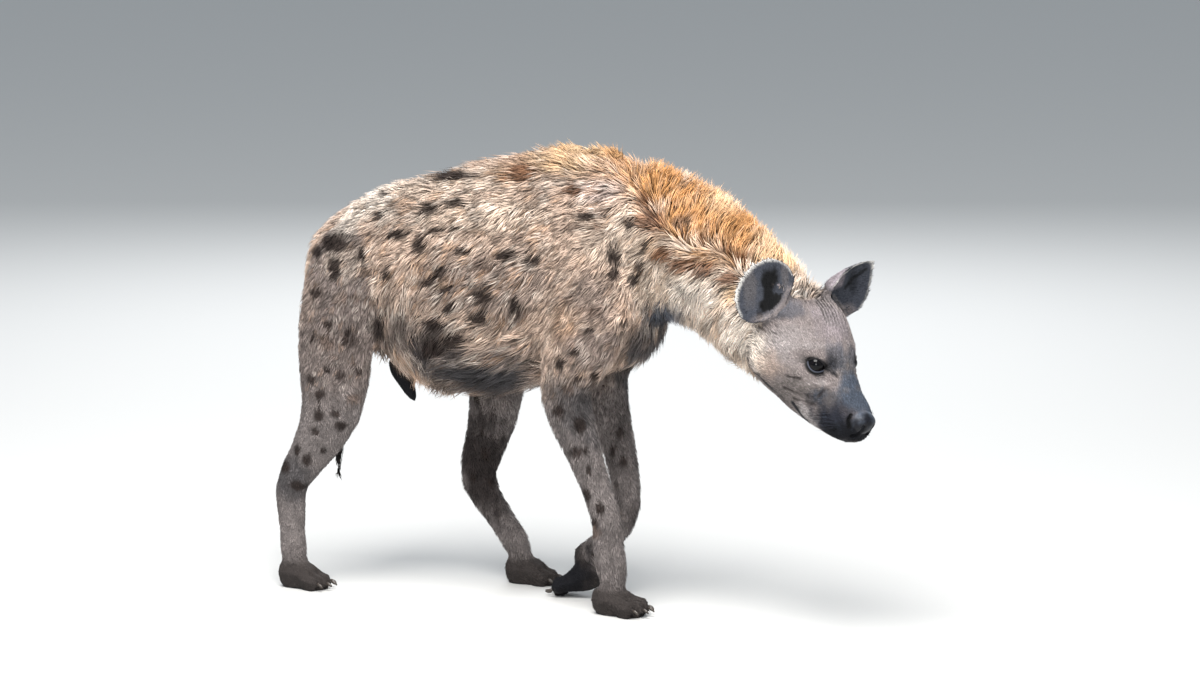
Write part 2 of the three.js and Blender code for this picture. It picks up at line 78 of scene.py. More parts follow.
view_right = Vector((math.cos(VIEW_AZIMUTH), math.sin(VIEW_AZIMUTH), 0))
level = Vector((-math.sin(VIEW_AZIMUTH), math.cos(VIEW_AZIMUTH), 0))
view_ahead = level * math.cos(VIEW_ELEVATION) - Vector((0, 0, 1)) * math.sin(VIEW_ELEVATION)
view_up = view_right.cross(view_ahead)
camera_place = middle_of("eye_right") + EYE_TO_AIM - view_ahead * VIEW_DISTANCE

camera = bpy.data.objects.new("camera", bpy.data.cameras.new("camera"))
camera.data.lens = LENS_MM
camera.data.sensor_width = SENSOR_MM
camera.matrix_world = Matrix.Translation(camera_place) @ Matrix(
    (view_right, view_up, -view_ahead)).transposed().to_4x4()
bpy.context.scene.collection.objects.link(camera)
bpy.context.scene.camera = camera
print("camera at", [round(v, 3) for v in camera_place])

# %% [markdown]
# A museum photographs a mount on a plain pale floor under large soft lamps. The lamps here
# are a wide one high on the camera's side, weaker ones in front and behind, and a pale room.

# %% Floor and lights
FLOOR_SIZE = 80.0
FLOOR_COLOUR = (0.60, 0.60, 0.59)
FLOOR_ROUGHNESS = 0.9
ROOM_COLOUR = (0.84, 0.92, 1.0)
ROOM_STRENGTH = 0.50
LAMPS_AIM_AT = Vector((0, 0, 0.45))
LAMPS = [
    # name, place, size, power, colour
    ("high_lamp", (0.3, -1.9, 4.0), 2.6, 330, (1.0, 0.975, 0.945)),
    ("side_lamp", (1.6, -4.2, 1.7), 1.6, 78, (1.0, 0.99, 0.97)),
    ("back_lamp", (-1.6, 3.6, 2.6), 2.4, 90, (0.97, 0.98, 1.0)),
]


def principled(name):
    material = bpy.data.materials.new(name)
    material.use_nodes = True
    return material, material.node_tree.nodes["Principled BSDF"]


def add_node(material, kind, links=None, **settings):
    node = material.node_tree.nodes.new(kind)
    for key, value in settings.items():
        setattr(node, key, value)
    for socket, source in (links or {}).items():
        if isinstance(source, bpy.types.NodeSocket):
            material.node_tree.links.new(source, node.inputs[socket])
        else:
            node.inputs[socket].default_value = source
    return node


def join(material, source, target):
    material.node_tree.links.new(source, target)


floor_shape = bmesh.new()
bmesh.ops.create_grid(floor_shape, x_segments=1, y_segments=1, size=FLOOR_SIZE / 2)
floor_mesh = bpy.data.meshes.new("floor")
floor_shape.to_mesh(floor_mesh)
floor_shape.free()
floor = bpy.data.objects.new("floor", floor_mesh)
floor_paint, floor_shader = principled("floor_paint")
floor_shader.inputs["Base Color"].default_value = (*FLOOR_COLOUR, 1)
floor_shader.inputs["Roughness"].default_value = FLOOR_ROUGHNESS
floor_mesh.materials.append(floor_paint)
bpy.context.scene.collection.objects.link(floor)

room = bpy.data.worlds.new("room")
room.use_nodes = True
room.node_tree.nodes["Background"].inputs["Color"].default_value = (*ROOM_COLOUR, 1)
room.node_tree.nodes["Background"].inputs["Strength"].default_value = ROOM_STRENGTH
bpy.context.scene.world = room


def lamp(name, place, size, power, colour):
    light = bpy.data.lights.new(name, "AREA")
    light.size = size
    light.energy = power
    light.color = colour
    holder = bpy.data.objects.new(name, light)
    away = Vector(place) - LAMPS_AIM_AT
    holder.matrix_world = Matrix.Translation(place) @ away.to_track_quat("Z", "Y").to_matrix().to_4x4()
    bpy.context.scene.collection.objects.link(holder)


for settings in LAMPS:
    lamp(*settings)
bpy.context.scene.view_settings.view_transform = "Standard"
print("stage set")

# %% [markdown]
# The solids say which part of the body a point belongs to. Their joined surface is kept as
# a search tree: any point can ask for its nearest part, and a ray from the camera finds
# the place on the coat that lies behind a spot of the photograph.

# %% The body's parts and the coat's outer surface
LEGS = ("fore_right", "hind_right", "hind_left", "fore_left")
TOES = ("inner", "second", "third", "outer")
UPPER = {"fore": "upper_arm", "hind": "thigh"}
LOWER = {"fore": "forearm", "hind": "shank"}
MERGE_DISTANCE = 0.01 * MM
FLESH = ["trunk", "neck", "head", "lower_jaw", "nose_pad", "ear_right", "ear_left", "tail", "sheath"]
for leg in LEGS:
    end_of_body = leg.split("_")[0]
    FLESH += [f"{UPPER[end_of_body]}_{leg}", f"{LOWER[end_of_body]}_{leg}", f"paw_{leg}"]
EYES = [f"eye_{side}" for side in SIDES]


def merged_copy(name):
    shape = bmesh.new()
    shape.from_mesh(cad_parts[name].data)
    bmesh.ops.remove_doubles(shape, verts=shape.verts, dist=MERGE_DISTANCE)
    shape.normal_update()
    return shape


outer_points, outer_faces, outer_part = [], [], []
for index, name in enumerate(FLESH + EYES):
    shape = merged_copy(name)
    start = len(outer_points)
    outer_points += [vert.co.copy() for vert in shape.verts]
    outer_faces += [[start + vert.index for vert in face.verts] for face in shape.faces]
    outer_part += [index] * len(shape.faces)
    shape.free()
outer = BVHTree.FromPolygons(outer_points, outer_faces)
outer_part = np.array(outer_part)


def ray_through(px, py):
    focal = LENS_MM / SENSOR_MM * FRAME_WIDTH
    across = (px - FRAME_WIDTH / 2) / focal
    down = (py - FRAME_HEIGHT / 2) / focal
    return (view_ahead + view_right * across - view_up * down).normalized()


def seen_at(px, py):
    """The place on the coat that shows at a point of the photograph."""
    hit = outer.ray_cast(camera_place, ray_through(px, py))
    if hit[0] is None:
        near = camera_place + ray_through(px, py) * VIEW_DISTANCE
        hit = outer.find_nearest(near)
    return np.array(hit[0]), outer_part[hit[2]]


print("outer surface", len(outer_faces), "faces")

# %% [markdown]
# The head has its own frame: X to the nose, Z up through the crown, origin between the
# eyes. Folds and lids are much easier to place there than in the room's axes.

# %% The head's own frame
HEAD_YAW = math.radians(-26.4)
HEAD_PITCH = math.radians(33.7)
HEAD_ROLL = math.radians(-5)
EYE_BEHIND_ORIGIN = Vector((-3.5, 0, 5.5)) * MM
EYE_RADIUS = 17 * MM
BACKBONE_FROM_PAWS = -11.5 * MM

head_axes = (Matrix.Rotation(HEAD_YAW, 3, "Z") @ Matrix.Rotation(HEAD_PITCH, 3, "Y")
             @ Matrix.Rotation(HEAD_ROLL, 3, "X"))
between_eyes = (middle_of("eye_right") + middle_of("eye_left")) / 2
head_origin = np.array(between_eyes - head_axes @ EYE_BEHIND_ORIGIN)
head_turn = np.array(head_axes)


def to_head(points):
    return (np.asarray(points) - head_origin) @ head_turn


def from_head(points):
    return np.asarray(points) @ head_turn.T + head_origin


MIDLINE_Y = float(np.array(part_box("paw_hind_right"))[:, 1].mean()
                  + np.array(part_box("paw_hind_left"))[:, 1].mean()) / 2 + BACKBONE_FROM_PAWS
print("head origin", head_origin.round(4), "midline", round(MIDLINE_Y, 4))

# %% [markdown]
# On the real animal the skin is one sheet. The solids are joined, pushed out a little so
# that the thin cuts between them close, and remeshed into one even net of quads. Each
# vertex then remembers the part that it came from.

# %% One net over all the flesh
CLOSE_CUTS = 0.8 * MM
NET_SIZE = 3.2 * MM

whole = bmesh.new()
for name in FLESH + EYES:
    shape = merged_copy(name)
    grown = bpy.data.meshes.new("grown")
    for vert in shape.verts:
        vert.co += vert.normal * CLOSE_CUTS
    shape.to_mesh(grown)
    shape.free()
    whole.from_mesh(grown)
    bpy.data.meshes.remove(grown)
skin_mesh = bpy.data.meshes.new("skin")
whole.to_mesh(skin_mesh)
whole.free()
skin = bpy.data.objects.new("skin", skin_mesh)
bpy.context.scene.collection.objects.link(skin)


def apply_modifiers(piece):
    settled = piece.evaluated_get(bpy.context.evaluated_depsgraph_get())
    piece.data = bpy.data.meshes.new_from_object(settled)
    piece.modifiers.clear()


net = skin.modifiers.new("net", "REMESH")
net.mode = "VOXEL"
net.voxel_size = NET_SIZE
apply_modifiers(skin)


def array_of(items, key, width, kind=float):
    values = np.empty(len(items) * width, np.float32 if kind is float else np.int32)
    items.foreach_get(key, values)
    return values.reshape(-1, width).astype(kind) if width > 1 else values.astype(kind)


def points_of(mesh):
    return array_of(mesh.vertices, "co", 3)


def normals_of(mesh):
    mesh.update()
    return array_of(mesh.vertex_normals, "vector", 3)


def set_points(mesh, points):
    mesh.vertices.foreach_set("co", points.astype(np.float32).ravel())
    mesh.update()


def unit(vectors):
    return vectors / np.maximum(np.linalg.norm(vectors, axis=-1, keepdims=True), TINY)


def smooth_step(low, high, value):
    t = np.clip((value - low) / (high - low), 0, 1)
    return t * t * (3 - 2 * t)


class Net:
    """The neighbours of each vertex, for spreading values over the skin."""

    def __init__(self, mesh):
        self.count = len(mesh.vertices)
        self.pairs = array_of(mesh.edges, "vertices", 2, int)
        self.links = np.maximum(np.bincount(self.pairs.ravel(), minlength=self.count), 1)

    def mean_around(self, values):
        a, b = self.pairs.T
        columns = values.reshape(self.count, -1)
        sums = [np.bincount(a, columns[b, k], self.count) + np.bincount(b, columns[a, k], self.count)
                for k in range(columns.shape[1])]
        return (np.stack(sums, 1) / self.links[:, None]).reshape(values.shape)

    def spread(self, values, rounds, share=0.5):
        for _ in range(rounds):
            values = values + (self.mean_around(values) - values) * share
        return values


def parts_of(points):
    return np.array([outer_part[outer.find_nearest(Vector(p))[2]] for p in points])


print("net", len(skin.data.polygons), "quads")

# %% [markdown]
# Hair is not equally deep everywhere. A hyena's mane stands over three centimetres above
# the neck, the flank is deep and soft, and the face is almost bare. The table gives, for
# each part, the depth of the coat, the length, lift and width of its tufts, and how many
# tufts grow on a square centimetre.

# %% How the coat varies over the body
COAT = {
    # part: depth mm, hair length mm, lift degrees, tuft width mm, tufts per square cm
    "trunk": (14, 36, 21, 2.9, 9),
    "neck": (15, 36, 23, 2.7, 10),
    "upper_arm": (9, 27, 19, 2.5, 9),
    "thigh": (9, 27, 19, 2.5, 9),
    "forearm": (4.0, 12, 16, 1.9, 10),
    "shank": (4.0, 12, 16, 1.9, 10),
    "paw": (2.5, 7, 15, 1.5, 10),
    "head": (2.4, 6, 14, 0.95, 34),
    "lower_jaw": (2.2, 6, 15, 1.0, 30),
    "nose_pad": (0.8, 0, 0, 1, 0),
    "ear": (0.9, 6.5, 13, 1.0, 16),
    "tail": (8, 30, 14, 2.0, 12),
    "sheath": (1.2, 5, 12, 1.3, 6),
    "eye": (1.0, 0, 0, 1, 0),
}
DEPTH, LENGTH, LIFT, WIDTH, CROWD = range(5)
KINDS = list(COAT)
RUFF_COAT = (11, 29, 24, 2.2, 10)
EXTRA = {
    # place: what it adds to depth mm, hair length mm and lift degrees
    "mane": (19, 7, 25),
    "back": (5, 2, 8),
    "belly": (6, 18, 4),
}
WITHERS_LIFT = 9
BACK_FROM_UP, BACK_FULL_UP = 0.5, 0.95
MANE_FULL_UP = 0.62
WITHERS_FROM_X, WITHERS_FULL_X = -0.15, 0.0
NAPE_FROM_X, NAPE_FULL_X = -76 * MM, -112 * MM
NAPE_FROM_UP, NAPE_FULL_UP = 0.2, 0.8
NAPE_HALF_WIDTH = 34 * MM
NAPE_SHARE = 0.6
BELLY_FROM_UP, BELLY_FULL_UP = -0.1, -0.75
BELLY_FROM_X, BELLY_FULL_X = 0.05, -0.03
BARE_UNDER_PAW = 6 * MM
RUFF_FROM_X, RUFF_FULL_X = -52 * MM, -118 * MM
CROWN_FROM_Z, CROWN_FULL_Z = 8 * MM, 40 * MM
RUMP_FROM_X, RUMP_FULL_X = -0.34, -0.52
RUMP_SHORTER = 0.4
SHORT_COAT_TO, LONG_COAT_FROM = 0.28, 0.60


def kind_of(name):
    return next(k for k in sorted(KINDS, key=len, reverse=True) if name.startswith(k))


KIND_OF_PART = np.array([KINDS.index(kind_of(name)) for name in FLESH + EYES])


def is_kind(kinds, *names):
    return np.isin(kinds, [KINDS.index(name) for name in names])


def coat_fields(mesh, kinds, rounds):
    """Per vertex: depth, length, lift, width and number of tufts, and how much is mane."""
    around = Net(mesh)
    table = np.array([COAT[kind] for kind in KINDS], float)
    fields = around.spread(table[kinds], rounds)
    points, normals = points_of(mesh), around.spread(normals_of(mesh), 12)
    up, x = normals[:, 2], points[:, 0]
    ahead, sideways, rise = to_head(points).T
    back = is_kind(kinds, "trunk", "thigh", "upper_arm") * smooth_step(BACK_FROM_UP, BACK_FULL_UP, up)
    on_neck = smooth_step(0.0, MANE_FULL_UP, up)
    on_withers = back * smooth_step(WITHERS_FROM_X, WITHERS_FULL_X, x)
    mane = np.where(is_kind(kinds, "neck"), on_neck, on_withers)
    nape = smooth_step(NAPE_FROM_X, NAPE_FULL_X, ahead) * (np.abs(sideways) < NAPE_HALF_WIDTH)
    on_nape = is_kind(kinds, "head") * nape * smooth_step(NAPE_FROM_UP, NAPE_FULL_UP, up)
    mane = around.spread(np.maximum(mane, on_nape * NAPE_SHARE), 14)
    back = around.spread(back, 8) * (1 - mane)
    belly = is_kind(kinds, "trunk") * smooth_step(BELLY_FROM_UP, BELLY_FULL_UP, up)
    belly = belly * smooth_step(BELLY_FROM_X, BELLY_FULL_X, x)
    belly = around.spread(belly, 14)
    legs = is_kind(kinds, "upper_arm", "thigh", "forearm", "shank").astype(float)
    high = smooth_step(SHORT_COAT_TO, LONG_COAT_FROM, points[:, 2])[:, None]
    leg_coat = np.array(COAT["forearm"]) * (1 - high) + np.array(COAT["upper_arm"]) * high
    fields += (leg_coat - fields) * around.spread(legs, 3)[:, None]
    heads = around.spread(is_kind(kinds, "head", "lower_jaw").astype(float), 2)
    ruff = smooth_step(RUFF_FROM_X, RUFF_FULL_X, ahead)[:, None]
    ruff = ruff * (1 - smooth_step(CROWN_FROM_Z, CROWN_FULL_Z, rise))[:, None]
    head_coat = np.array(COAT["head"]) * (1 - ruff) + np.array(RUFF_COAT) * ruff
    fields += (head_coat - fields) * heads[:, None]
    for column, (on_mane, on_back, on_belly) in enumerate(zip(*EXTRA.values())):
        if column == LIFT:
            on_mane = np.where(is_kind(kinds, "neck"), on_mane, WITHERS_LIFT)
        fields[:, column] += mane * on_mane + back * on_back + belly * on_belly
    fields[:, LENGTH] *= 1 - RUMP_SHORTER * smooth_step(RUMP_FROM_X, RUMP_FULL_X, x)
    fields[:, DEPTH] *= smooth_step(0.0, BARE_UNDER_PAW, points[:, 2])
    return fields, mane


# %% [markdown]
# The skin sinks into the solids by the depth of the coat. It goes down in small steps with
# a little smoothing after each, as clay is pressed, so that it does not fold over itself
# where a leg meets the body.

# %% Press the skin in
PRESS_STEPS = 6
FACET_SMOOTHING = 26
SOFTNESS = {"ear": 0.25, "paw": 0.1, "nose_pad": 0.45, "head": 0.6, "lower_jaw": 0.5, "eye": 0.2,
            "sheath": 0.5}
STANDING_BELOW = 3 * MM
FLAT_FROM, FLAT_TO = 0.2 * MM, 0.6 * MM
LOWEST_ELSEWHERE = 0.4 * MM

kinds = KIND_OF_PART[parts_of(points_of(skin.data))]
around = Net(skin.data)
softness = np.array([SOFTNESS.get(kind, 1.0) for kind in KINDS])[kinds]
softness = around.spread(softness, 6)[:, None] * 0.5
points = points_of(skin.data)
on_floor = points[:, 2] < STANDING_BELOW
for _ in range(FACET_SMOOTHING):
    points = points + (around.mean_around(points) - points) * softness
set_points(skin.data, points)
fields, _ = coat_fields(skin.data, kinds, 14)
for _ in range(PRESS_STEPS):
    points = points - normals_of(skin.data) * (fields[:, DEPTH, None] * MM / PRESS_STEPS)
    for _ in range(2):
        points = points + (around.mean_around(points) - points) * softness
    set_points(skin.data, points)
points[:, 2] = np.where(on_floor, np.clip(points[:, 2], FLAT_FROM, FLAT_TO),
                        np.maximum(points[:, 2], LOWEST_ELSEWHERE))
set_points(skin.data, points)
print("skin pressed in, lowest point", round(float(points[:, 2].min()), 5))

# %% [markdown]
# The net is finer than the body needs under its coat and coarser than the face needs. The
# body is thinned out, and the face is divided once, then once more round the eyes, the
# nose and the mouth.

# %% Thin the body and refine the face
BODY_SHARE = 0.30
FACE_FROM_X = -48 * MM
EYE_ZONE = 30 * MM
NOSE_FROM_X = 100 * MM
NOSE_FROM_Z = -100 * MM
FACE_HALF_WIDTH = 95 * MM
FACE_FROM_Z, FACE_TO_Z = -150 * MM, 100 * MM

loose = skin.vertex_groups.new(name="body")
body_verts = np.flatnonzero(~is_kind(kinds, "head", "lower_jaw", "nose_pad", "eye", "ear", "paw"))
loose.add(body_verts.tolist(), 1.0, "REPLACE")
thin = skin.modifiers.new("thin", "DECIMATE")
thin.ratio = BODY_SHARE
thin.vertex_group = "body"
apply_modifiers(skin)
skin.vertex_groups.clear()
print("thinned", len(skin.data.polygons), "faces")

EYE_CENTRES = {side: to_head(np.array(middle_of(f"eye_{side}"))) for side in SIDES}


def refine(mesh, wanted):
    shape = bmesh.new()
    shape.from_mesh(mesh)
    places = to_head(np.array([vert.co for vert in shape.verts]))
    marked = wanted(places)
    shape.verts.ensure_lookup_table()
    edges = [edge for edge in shape.edges if all(marked[vert.index] for vert in edge.verts)]
    bmesh.ops.subdivide_edges(shape, edges=edges, cuts=1, use_grid_fill=True, smooth=0)
    shape.to_mesh(mesh)
    shape.free()


def on_face(places):
    x, y, z = places.T
    return (x > FACE_FROM_X) & (np.abs(y) < FACE_HALF_WIDTH) & (z > FACE_FROM_Z) & (z < FACE_TO_Z)


def fine_zones(places):
    fine = (places[:, 0] > NOSE_FROM_X) & (places[:, 2] > NOSE_FROM_Z) & on_face(places)
    for centre in EYE_CENTRES.values():
        fine |= np.linalg.norm(places - centre, axis=1) < EYE_ZONE
    return fine


refine(skin.data, on_face)
refine(skin.data, fine_zones)
skin.data.polygons.foreach_set("use_smooth", np.ones(len(skin.data.polygons), bool))
kinds = KIND_OF_PART[parts_of(points_of(skin.data))]
print("skin", len(skin.data.polygons), "faces")

# %% [markdown]
# Lines on the head are drawn once, as points of the photograph, and dropped onto the head.
# Only the groove under the middle of the nose is given in the head's own frame. The far
# side gets the same lines mirrored, apart from the forehead's, which cross the middle by
# themselves. A groove pulls the skin in near its line.

# %% Lip line, nostril slits and folds
LIP_LINE = [(793, 403), (800, 413), (806, 421), (815, 430), (824, 437), (833, 442), (839, 445), (846, 442)]
NOSTRIL_SLIT = [(849, 427), (848, 420), (851, 415)]
NOSTRIL_HOLE = [(852, 436), (857, 435), (862, 431), (864, 427)]
CHEEK_FOLDS = [
    [(788, 376), (798, 378), (807, 381), (816, 386)],
    [(784, 388), (796, 393), (808, 397)],
    [(794, 399), (805, 403), (815, 405)],
    [(835, 385), (825, 389), (819, 396)],
]
BROW_FOLDS = [
    [(808, 352), (816, 349), (825, 352)],
    [(834, 350), (843, 356), (846, 366)],
]
FOREHEAD_LINES = 8
FOREHEAD_LEFT = np.array([(795, 287), (811, 296), (821, 308), (827, 323)], float)
FOREHEAD_RIGHT = np.array([(815, 284), (834, 296), (846, 314), (852, 332)], float)
FOREHEAD_FOLDS = [FOREHEAD_LEFT + (FOREHEAD_RIGHT - FOREHEAD_LEFT) * (k / (FOREHEAD_LINES - 1))
                  for k in range(FOREHEAD_LINES)]
TEAR_LINE = [(826, 369), (831, 372), (837, 376)]
PHILTRUM = np.array([(143, 0, -20), (141, 0, -36), (132, 0, -47), (127, 0, -57), (118, 0, -70)]) * MM
GROOVES = [
    # lines, depth mm, half-width mm, on both sides
    ([LIP_LINE], 3.0, 4.0, True),
    ([NOSTRIL_SLIT], 2.4, 3.0, True),
    ([NOSTRIL_HOLE], 5.5, 5.0, True),
    ([PHILTRUM], 2.4, 2.6, False),
    (CHEEK_FOLDS, 2.0, 5.0, True),
    (BROW_FOLDS, 1.4, 5.0, True),
    (FOREHEAD_FOLDS, 1.5, 3.0, False),
    ([TEAR_LINE], 1.6, 4.0, True),
]
LINE_STEPS = 6

skin.data.calc_loop_triangles()
face_tree = BVHTree.FromPolygons(points_of(skin.data).tolist(),
                                 array_of(skin.data.loop_triangles, "vertices", 3, int).tolist())


def on_skin(px, py):
    hit = face_tree.ray_cast(camera_place, ray_through(px, py))[0]
    return seen_at(px, py)[0] if hit is None else np.array(hit)


def head_line(pixels, both_sides=True):
    """The line in the head's frame. It follows the skin between its given pixels too."""
    pixels = np.array(pixels, float)
    if pixels.shape[1] == 3:
        return [pixels]
    steps = np.arange(0, len(pixels) - 1 + 0.5 / LINE_STEPS, 1 / LINE_STEPS)
    fine = [np.interp(steps, range(len(pixels)), pixels[:, k]) for k in (0, 1)]
    line = to_head(np.array([on_skin(px, py) for px, py in zip(*fine)]))
    return [line, line * (1, -1, 1)] if both_sides else [line]


def near_line(points, line):
    """Distance of each point to a chain of straight stretches."""
    best = np.full(len(points), 1.0)
    for a, b in zip(line[:-1], line[1:]):
        run = b - a
        t = np.clip((points - a) @ run / max(run @ run, TINY), 0, 1)
        best = np.minimum(best, np.linalg.norm(points - a - t[:, None] * run, axis=1))
    return best


def press_lines(points, normals, lines, depth, width, both_sides):
    places = to_head(points)
    push = np.zeros(len(points))
    for pixels in lines:
        for line in head_line(pixels, both_sides):
            push = np.maximum(push, 1 - smooth_step(0, width * MM, near_line(places, line)))
    return points - normals * (push * depth * MM)[:, None]


points, normals = points_of(skin.data), normals_of(skin.data)
for groove in GROOVES:
    points = press_lines(points, normals, *groove)
set_points(skin.data, points)
print(len(GROOVES), "kinds of groove drawn")

# %% [markdown]
# Bone and muscle show through the face: brow ridges over the eyes, a hollow in front of
# them, cheekbones, and the fleshy pads that carry the whiskers. Each is a soft swelling,
# or a hollow where its height is negative.

# %% Swellings and hollows of the face
SWELLINGS = [
    # name, place in the head's frame (mm, right side mirrored), radius mm, height mm
    ("brow ridge", (2, 46, 33), 20, 3.6),
    ("hollow before the eye", (30, 42, 4), 24, -4.2),
    ("bridge side", (62, 34, -14), 24, -2.4),
    ("cheekbone", (-18, 66, -22), 26, 3.0),
    ("hollow of the cheek", (22, 56, -52), 26, -2.6),
    ("whisker pad", (100, 37, -54), 22, 3.2),
    ("jaw muscle", (-72, 86, -62), 34, 3.0),
    ("temple", (-45, 62, 38), 28, -2.0),
    ("chin", (110, 0, -74), 18, 1.6),
]
ON_MIDDLE_SHARE = 0.5


def swell(points, normals):
    places = to_head(points)
    lift_by = np.zeros(len(points))
    for _, (x, y, z), radius, height in SWELLINGS:
        for flip in (-1, 1):
            away = np.linalg.norm(places - np.array([x, flip * y, z]) * MM, axis=1)
            share = ON_MIDDLE_SHARE if y == 0 else 1
            lift_by += height * MM * (1 - smooth_step(0, radius * MM, away)) * share
    return points + normals * lift_by[:, None]


set_points(skin.data, swell(points_of(skin.data), normals_of(skin.data)))
print(len(SWELLINGS), "swellings")

# %% [markdown]
# The ear's rim stands free behind and above. In front and below it runs into the cheek,
# with no edge. There the rim is pressed down to the head.

# %% Ears that grow out of the head
EARS = {
    # mm in the head's frame, and degrees round the rim from "across"
    "right": {"base": (-124, -56, 38), "rim": (-138, -98, 61), "half": (48, 63), "rooted": (-72, 34),
              "across": (0.793, 0.608, -0.048), "up": (-0.268, 0.42, 0.867)},
    "left": {"base": (-131, 47, 39), "rim": (-113, 95, 85), "half": (47, 59), "rooted": (-145, -30),
             "across": (0.185, 0.785, -0.592), "up": (-0.361, 0.614, 0.702)},
}
for ear in EARS.values():
    for key in ("base", "rim", "half"):
        ear[key] = np.array(ear[key]) * MM
    for key in ("across", "up"):
        ear[key] = unit(np.array(ear[key]))
    ear["faces"] = unit(np.cross(ear["across"], ear["up"]))
ROOT_PRESS = 5 * MM
RIM_SPREAD = 2.2 * MM
EAR_REACH = 90 * MM
FADE_AT_START, FADE_AT_END = 14, 10


def on_ear_plane(ear, places):
    """Height over the rim's plane, distance from its middle (1 at the rim), and rooted share."""
    offset = places - ear["rim"]
    a, u = offset @ ear["across"], offset @ ear["up"]
    turn = np.degrees(np.arctan2(u / ear["half"][1], a / ear["half"][0]))
    start, end = ear["rooted"]
    rooted = smooth_step(start - FADE_AT_START, start + FADE_AT_START, turn)
    rooted = rooted * (1 - smooth_step(end - FADE_AT_END, end + FADE_AT_END, turn))
    return offset @ ear["faces"], np.hypot(a / ear["half"][0], u / ear["half"][1]), rooted


def belongs_to(ear, places, kinds):
    return is_kind(kinds, "ear") & (np.linalg.norm(places - ear["rim"], axis=1) < EAR_REACH)


places = to_head(points_of(skin.data))
for ear in EARS.values():
    own = belongs_to(ear, places, kinds)
    height, out, rooted = on_ear_plane(ear, places)
    press = own * rooted * smooth_step(-20 * MM, -2 * MM, height) * smooth_step(0.62, 0.92, out)
    places = places - ear["faces"] * (press * ROOT_PRESS)[:, None]
    outward = unit(places - ear["rim"] - ear["faces"] * height[:, None])
    spread = own * (1 - rooted) * smooth_step(0.72, 0.95, out) * smooth_step(-22 * MM, -3 * MM, height)
    places = places + outward * (spread * RIM_SPREAD)[:, None]
set_points(skin.data, from_head(places))
print("ears rooted")

# %% [markdown]
# Four toes show on each paw. The clefts between them run back from the gap between two
# neighbouring claws, so the claws' own places say where each cleft lies.

# %% Clefts between the toes
CLEFT_DEPTH = 5.0 * MM
CLEFT_HALF_WIDTH = 3.0 * MM
CLEFT_LENGTH = 52 * MM


def press_toes(points, normals):
    push = np.zeros(len(points))
    for leg in LEGS:
        claws = np.array([middle_of(f"claw_{leg}_{toe}") for toe in TOES])
        low, high = (np.array(corner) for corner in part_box(f"paw_{leg}"))
        sideways = unit(claws[3] - claws[0])
        ahead = claws.mean(0) - (low + high) / 2
        ahead = unit(ahead - sideways * (ahead @ sideways))
        for first, second in zip(claws[:-1], claws[1:]):
            offset = points - (first + second) / 2
            along = offset @ ahead
            depth = np.exp(-((offset @ sideways) / CLEFT_HALF_WIDTH) ** 2)
            depth *= smooth_step(-CLEFT_LENGTH, -CLEFT_LENGTH * 0.4, along)
            depth *= np.linalg.norm(offset, axis=1) < CLEFT_LENGTH
            push = np.maximum(push, depth)
    push *= smooth_step(1 * MM, 5 * MM, points[:, 2])
    return points - normals * (push * CLEFT_DEPTH)[:, None]


set_points(skin.data, press_toes(points_of(skin.data), normals_of(skin.data)))
print("toes parted")

# %% [markdown]
# An eye sits in its socket with the lids wrapped round the ball. Every vertex near the
# eye is placed by its direction from the ball's centre: inside the almond it drops behind
# the ball, at the rim it stands just proud of it, and farther out it eases back into the
# cheek and brow.

# %% Eyelids
GAZE_YAW = math.radians(50)
GAZE_RISE = math.radians(15)
EYE_TILT = math.radians(15)
ALMOND_HALF_WIDTH = 64.0
ALMOND_UP = 43.0
ALMOND_DOWN = 37.0
TEAR_DUCT = 12.0
LID_RADIUS = 19.0 * MM
BEHIND_BALL = 14.4 * MM
LID_BLEND = 42.0
LID_REACH = 38 * MM
LID_RIDGE = 1.0 * MM
RIDGE_AT, CREASE_AT, RIDGE_WIDTH = 4, 12, 3
DARK_ACROSS, DARK_UP, DARK_DOWN = 22 * MM, 14 * MM, 17.5 * MM


def eye_axes(side):
    flip = -1 if side == "right" else 1
    gaze = np.array([math.cos(GAZE_YAW) * math.cos(GAZE_RISE),
                     flip * math.sin(GAZE_YAW) * math.cos(GAZE_RISE), math.sin(GAZE_RISE)])
    to_nose = unit(np.array([1, 0, 0]) - gaze * gaze[0])
    rise = unit(np.array([0, 0, 1]) - gaze * gaze[2] - to_nose * to_nose[2])
    corner = to_nose * math.cos(EYE_TILT) + rise * math.sin(EYE_TILT)
    return gaze, corner, unit(rise - corner * (rise @ corner))


def almond(across):
    """Half-heights of the opening, up and down, at an angle across the eye."""
    half = np.where(across > 0, ALMOND_HALF_WIDTH + TEAR_DUCT, ALMOND_HALF_WIDTH)
    span = np.clip(1 - (across / half) ** 2, 0, 1)
    lean = np.where(across > 0, 1.25, 0.85)
    return ALMOND_UP * span ** lean, ALMOND_DOWN * span ** lean, half


def beyond_rim(side, places):
    """Degrees from the lids' rim, negative inside the opening, and distance from the centre."""
    gaze, corner, rise = eye_axes(side)
    out = places - EYE_CENTRES[side]
    reach = np.linalg.norm(out, axis=1)
    away = unit(out)
    across = np.degrees(np.arctan2(away @ corner, away @ gaze))
    tall = np.degrees(np.arcsin(np.clip(away @ rise, -1, 1)))
    up, down, half = almond(across)
    over = np.where(tall > 0, tall - up, -tall - down)
    past_corner = np.hypot(tall, np.abs(across) - half)
    return np.where(np.abs(across) < half, over, past_corner), reach


def dark_lids(side, places, first, last):
    """1 on the bare black skin round the eye, fading to 0 outside it."""
    gaze, corner, rise = eye_axes(side)
    out = places - EYE_CENTRES[side]
    across, tall, ahead = out @ corner, out @ rise, out @ gaze
    round_eye = np.hypot(across / DARK_ACROSS, tall / np.where(tall > 0, DARK_UP, DARK_DOWN))
    return (ahead > 0) * (ahead < 2 * DARK_ACROSS) * (1 - smooth_step(first, last, round_eye))


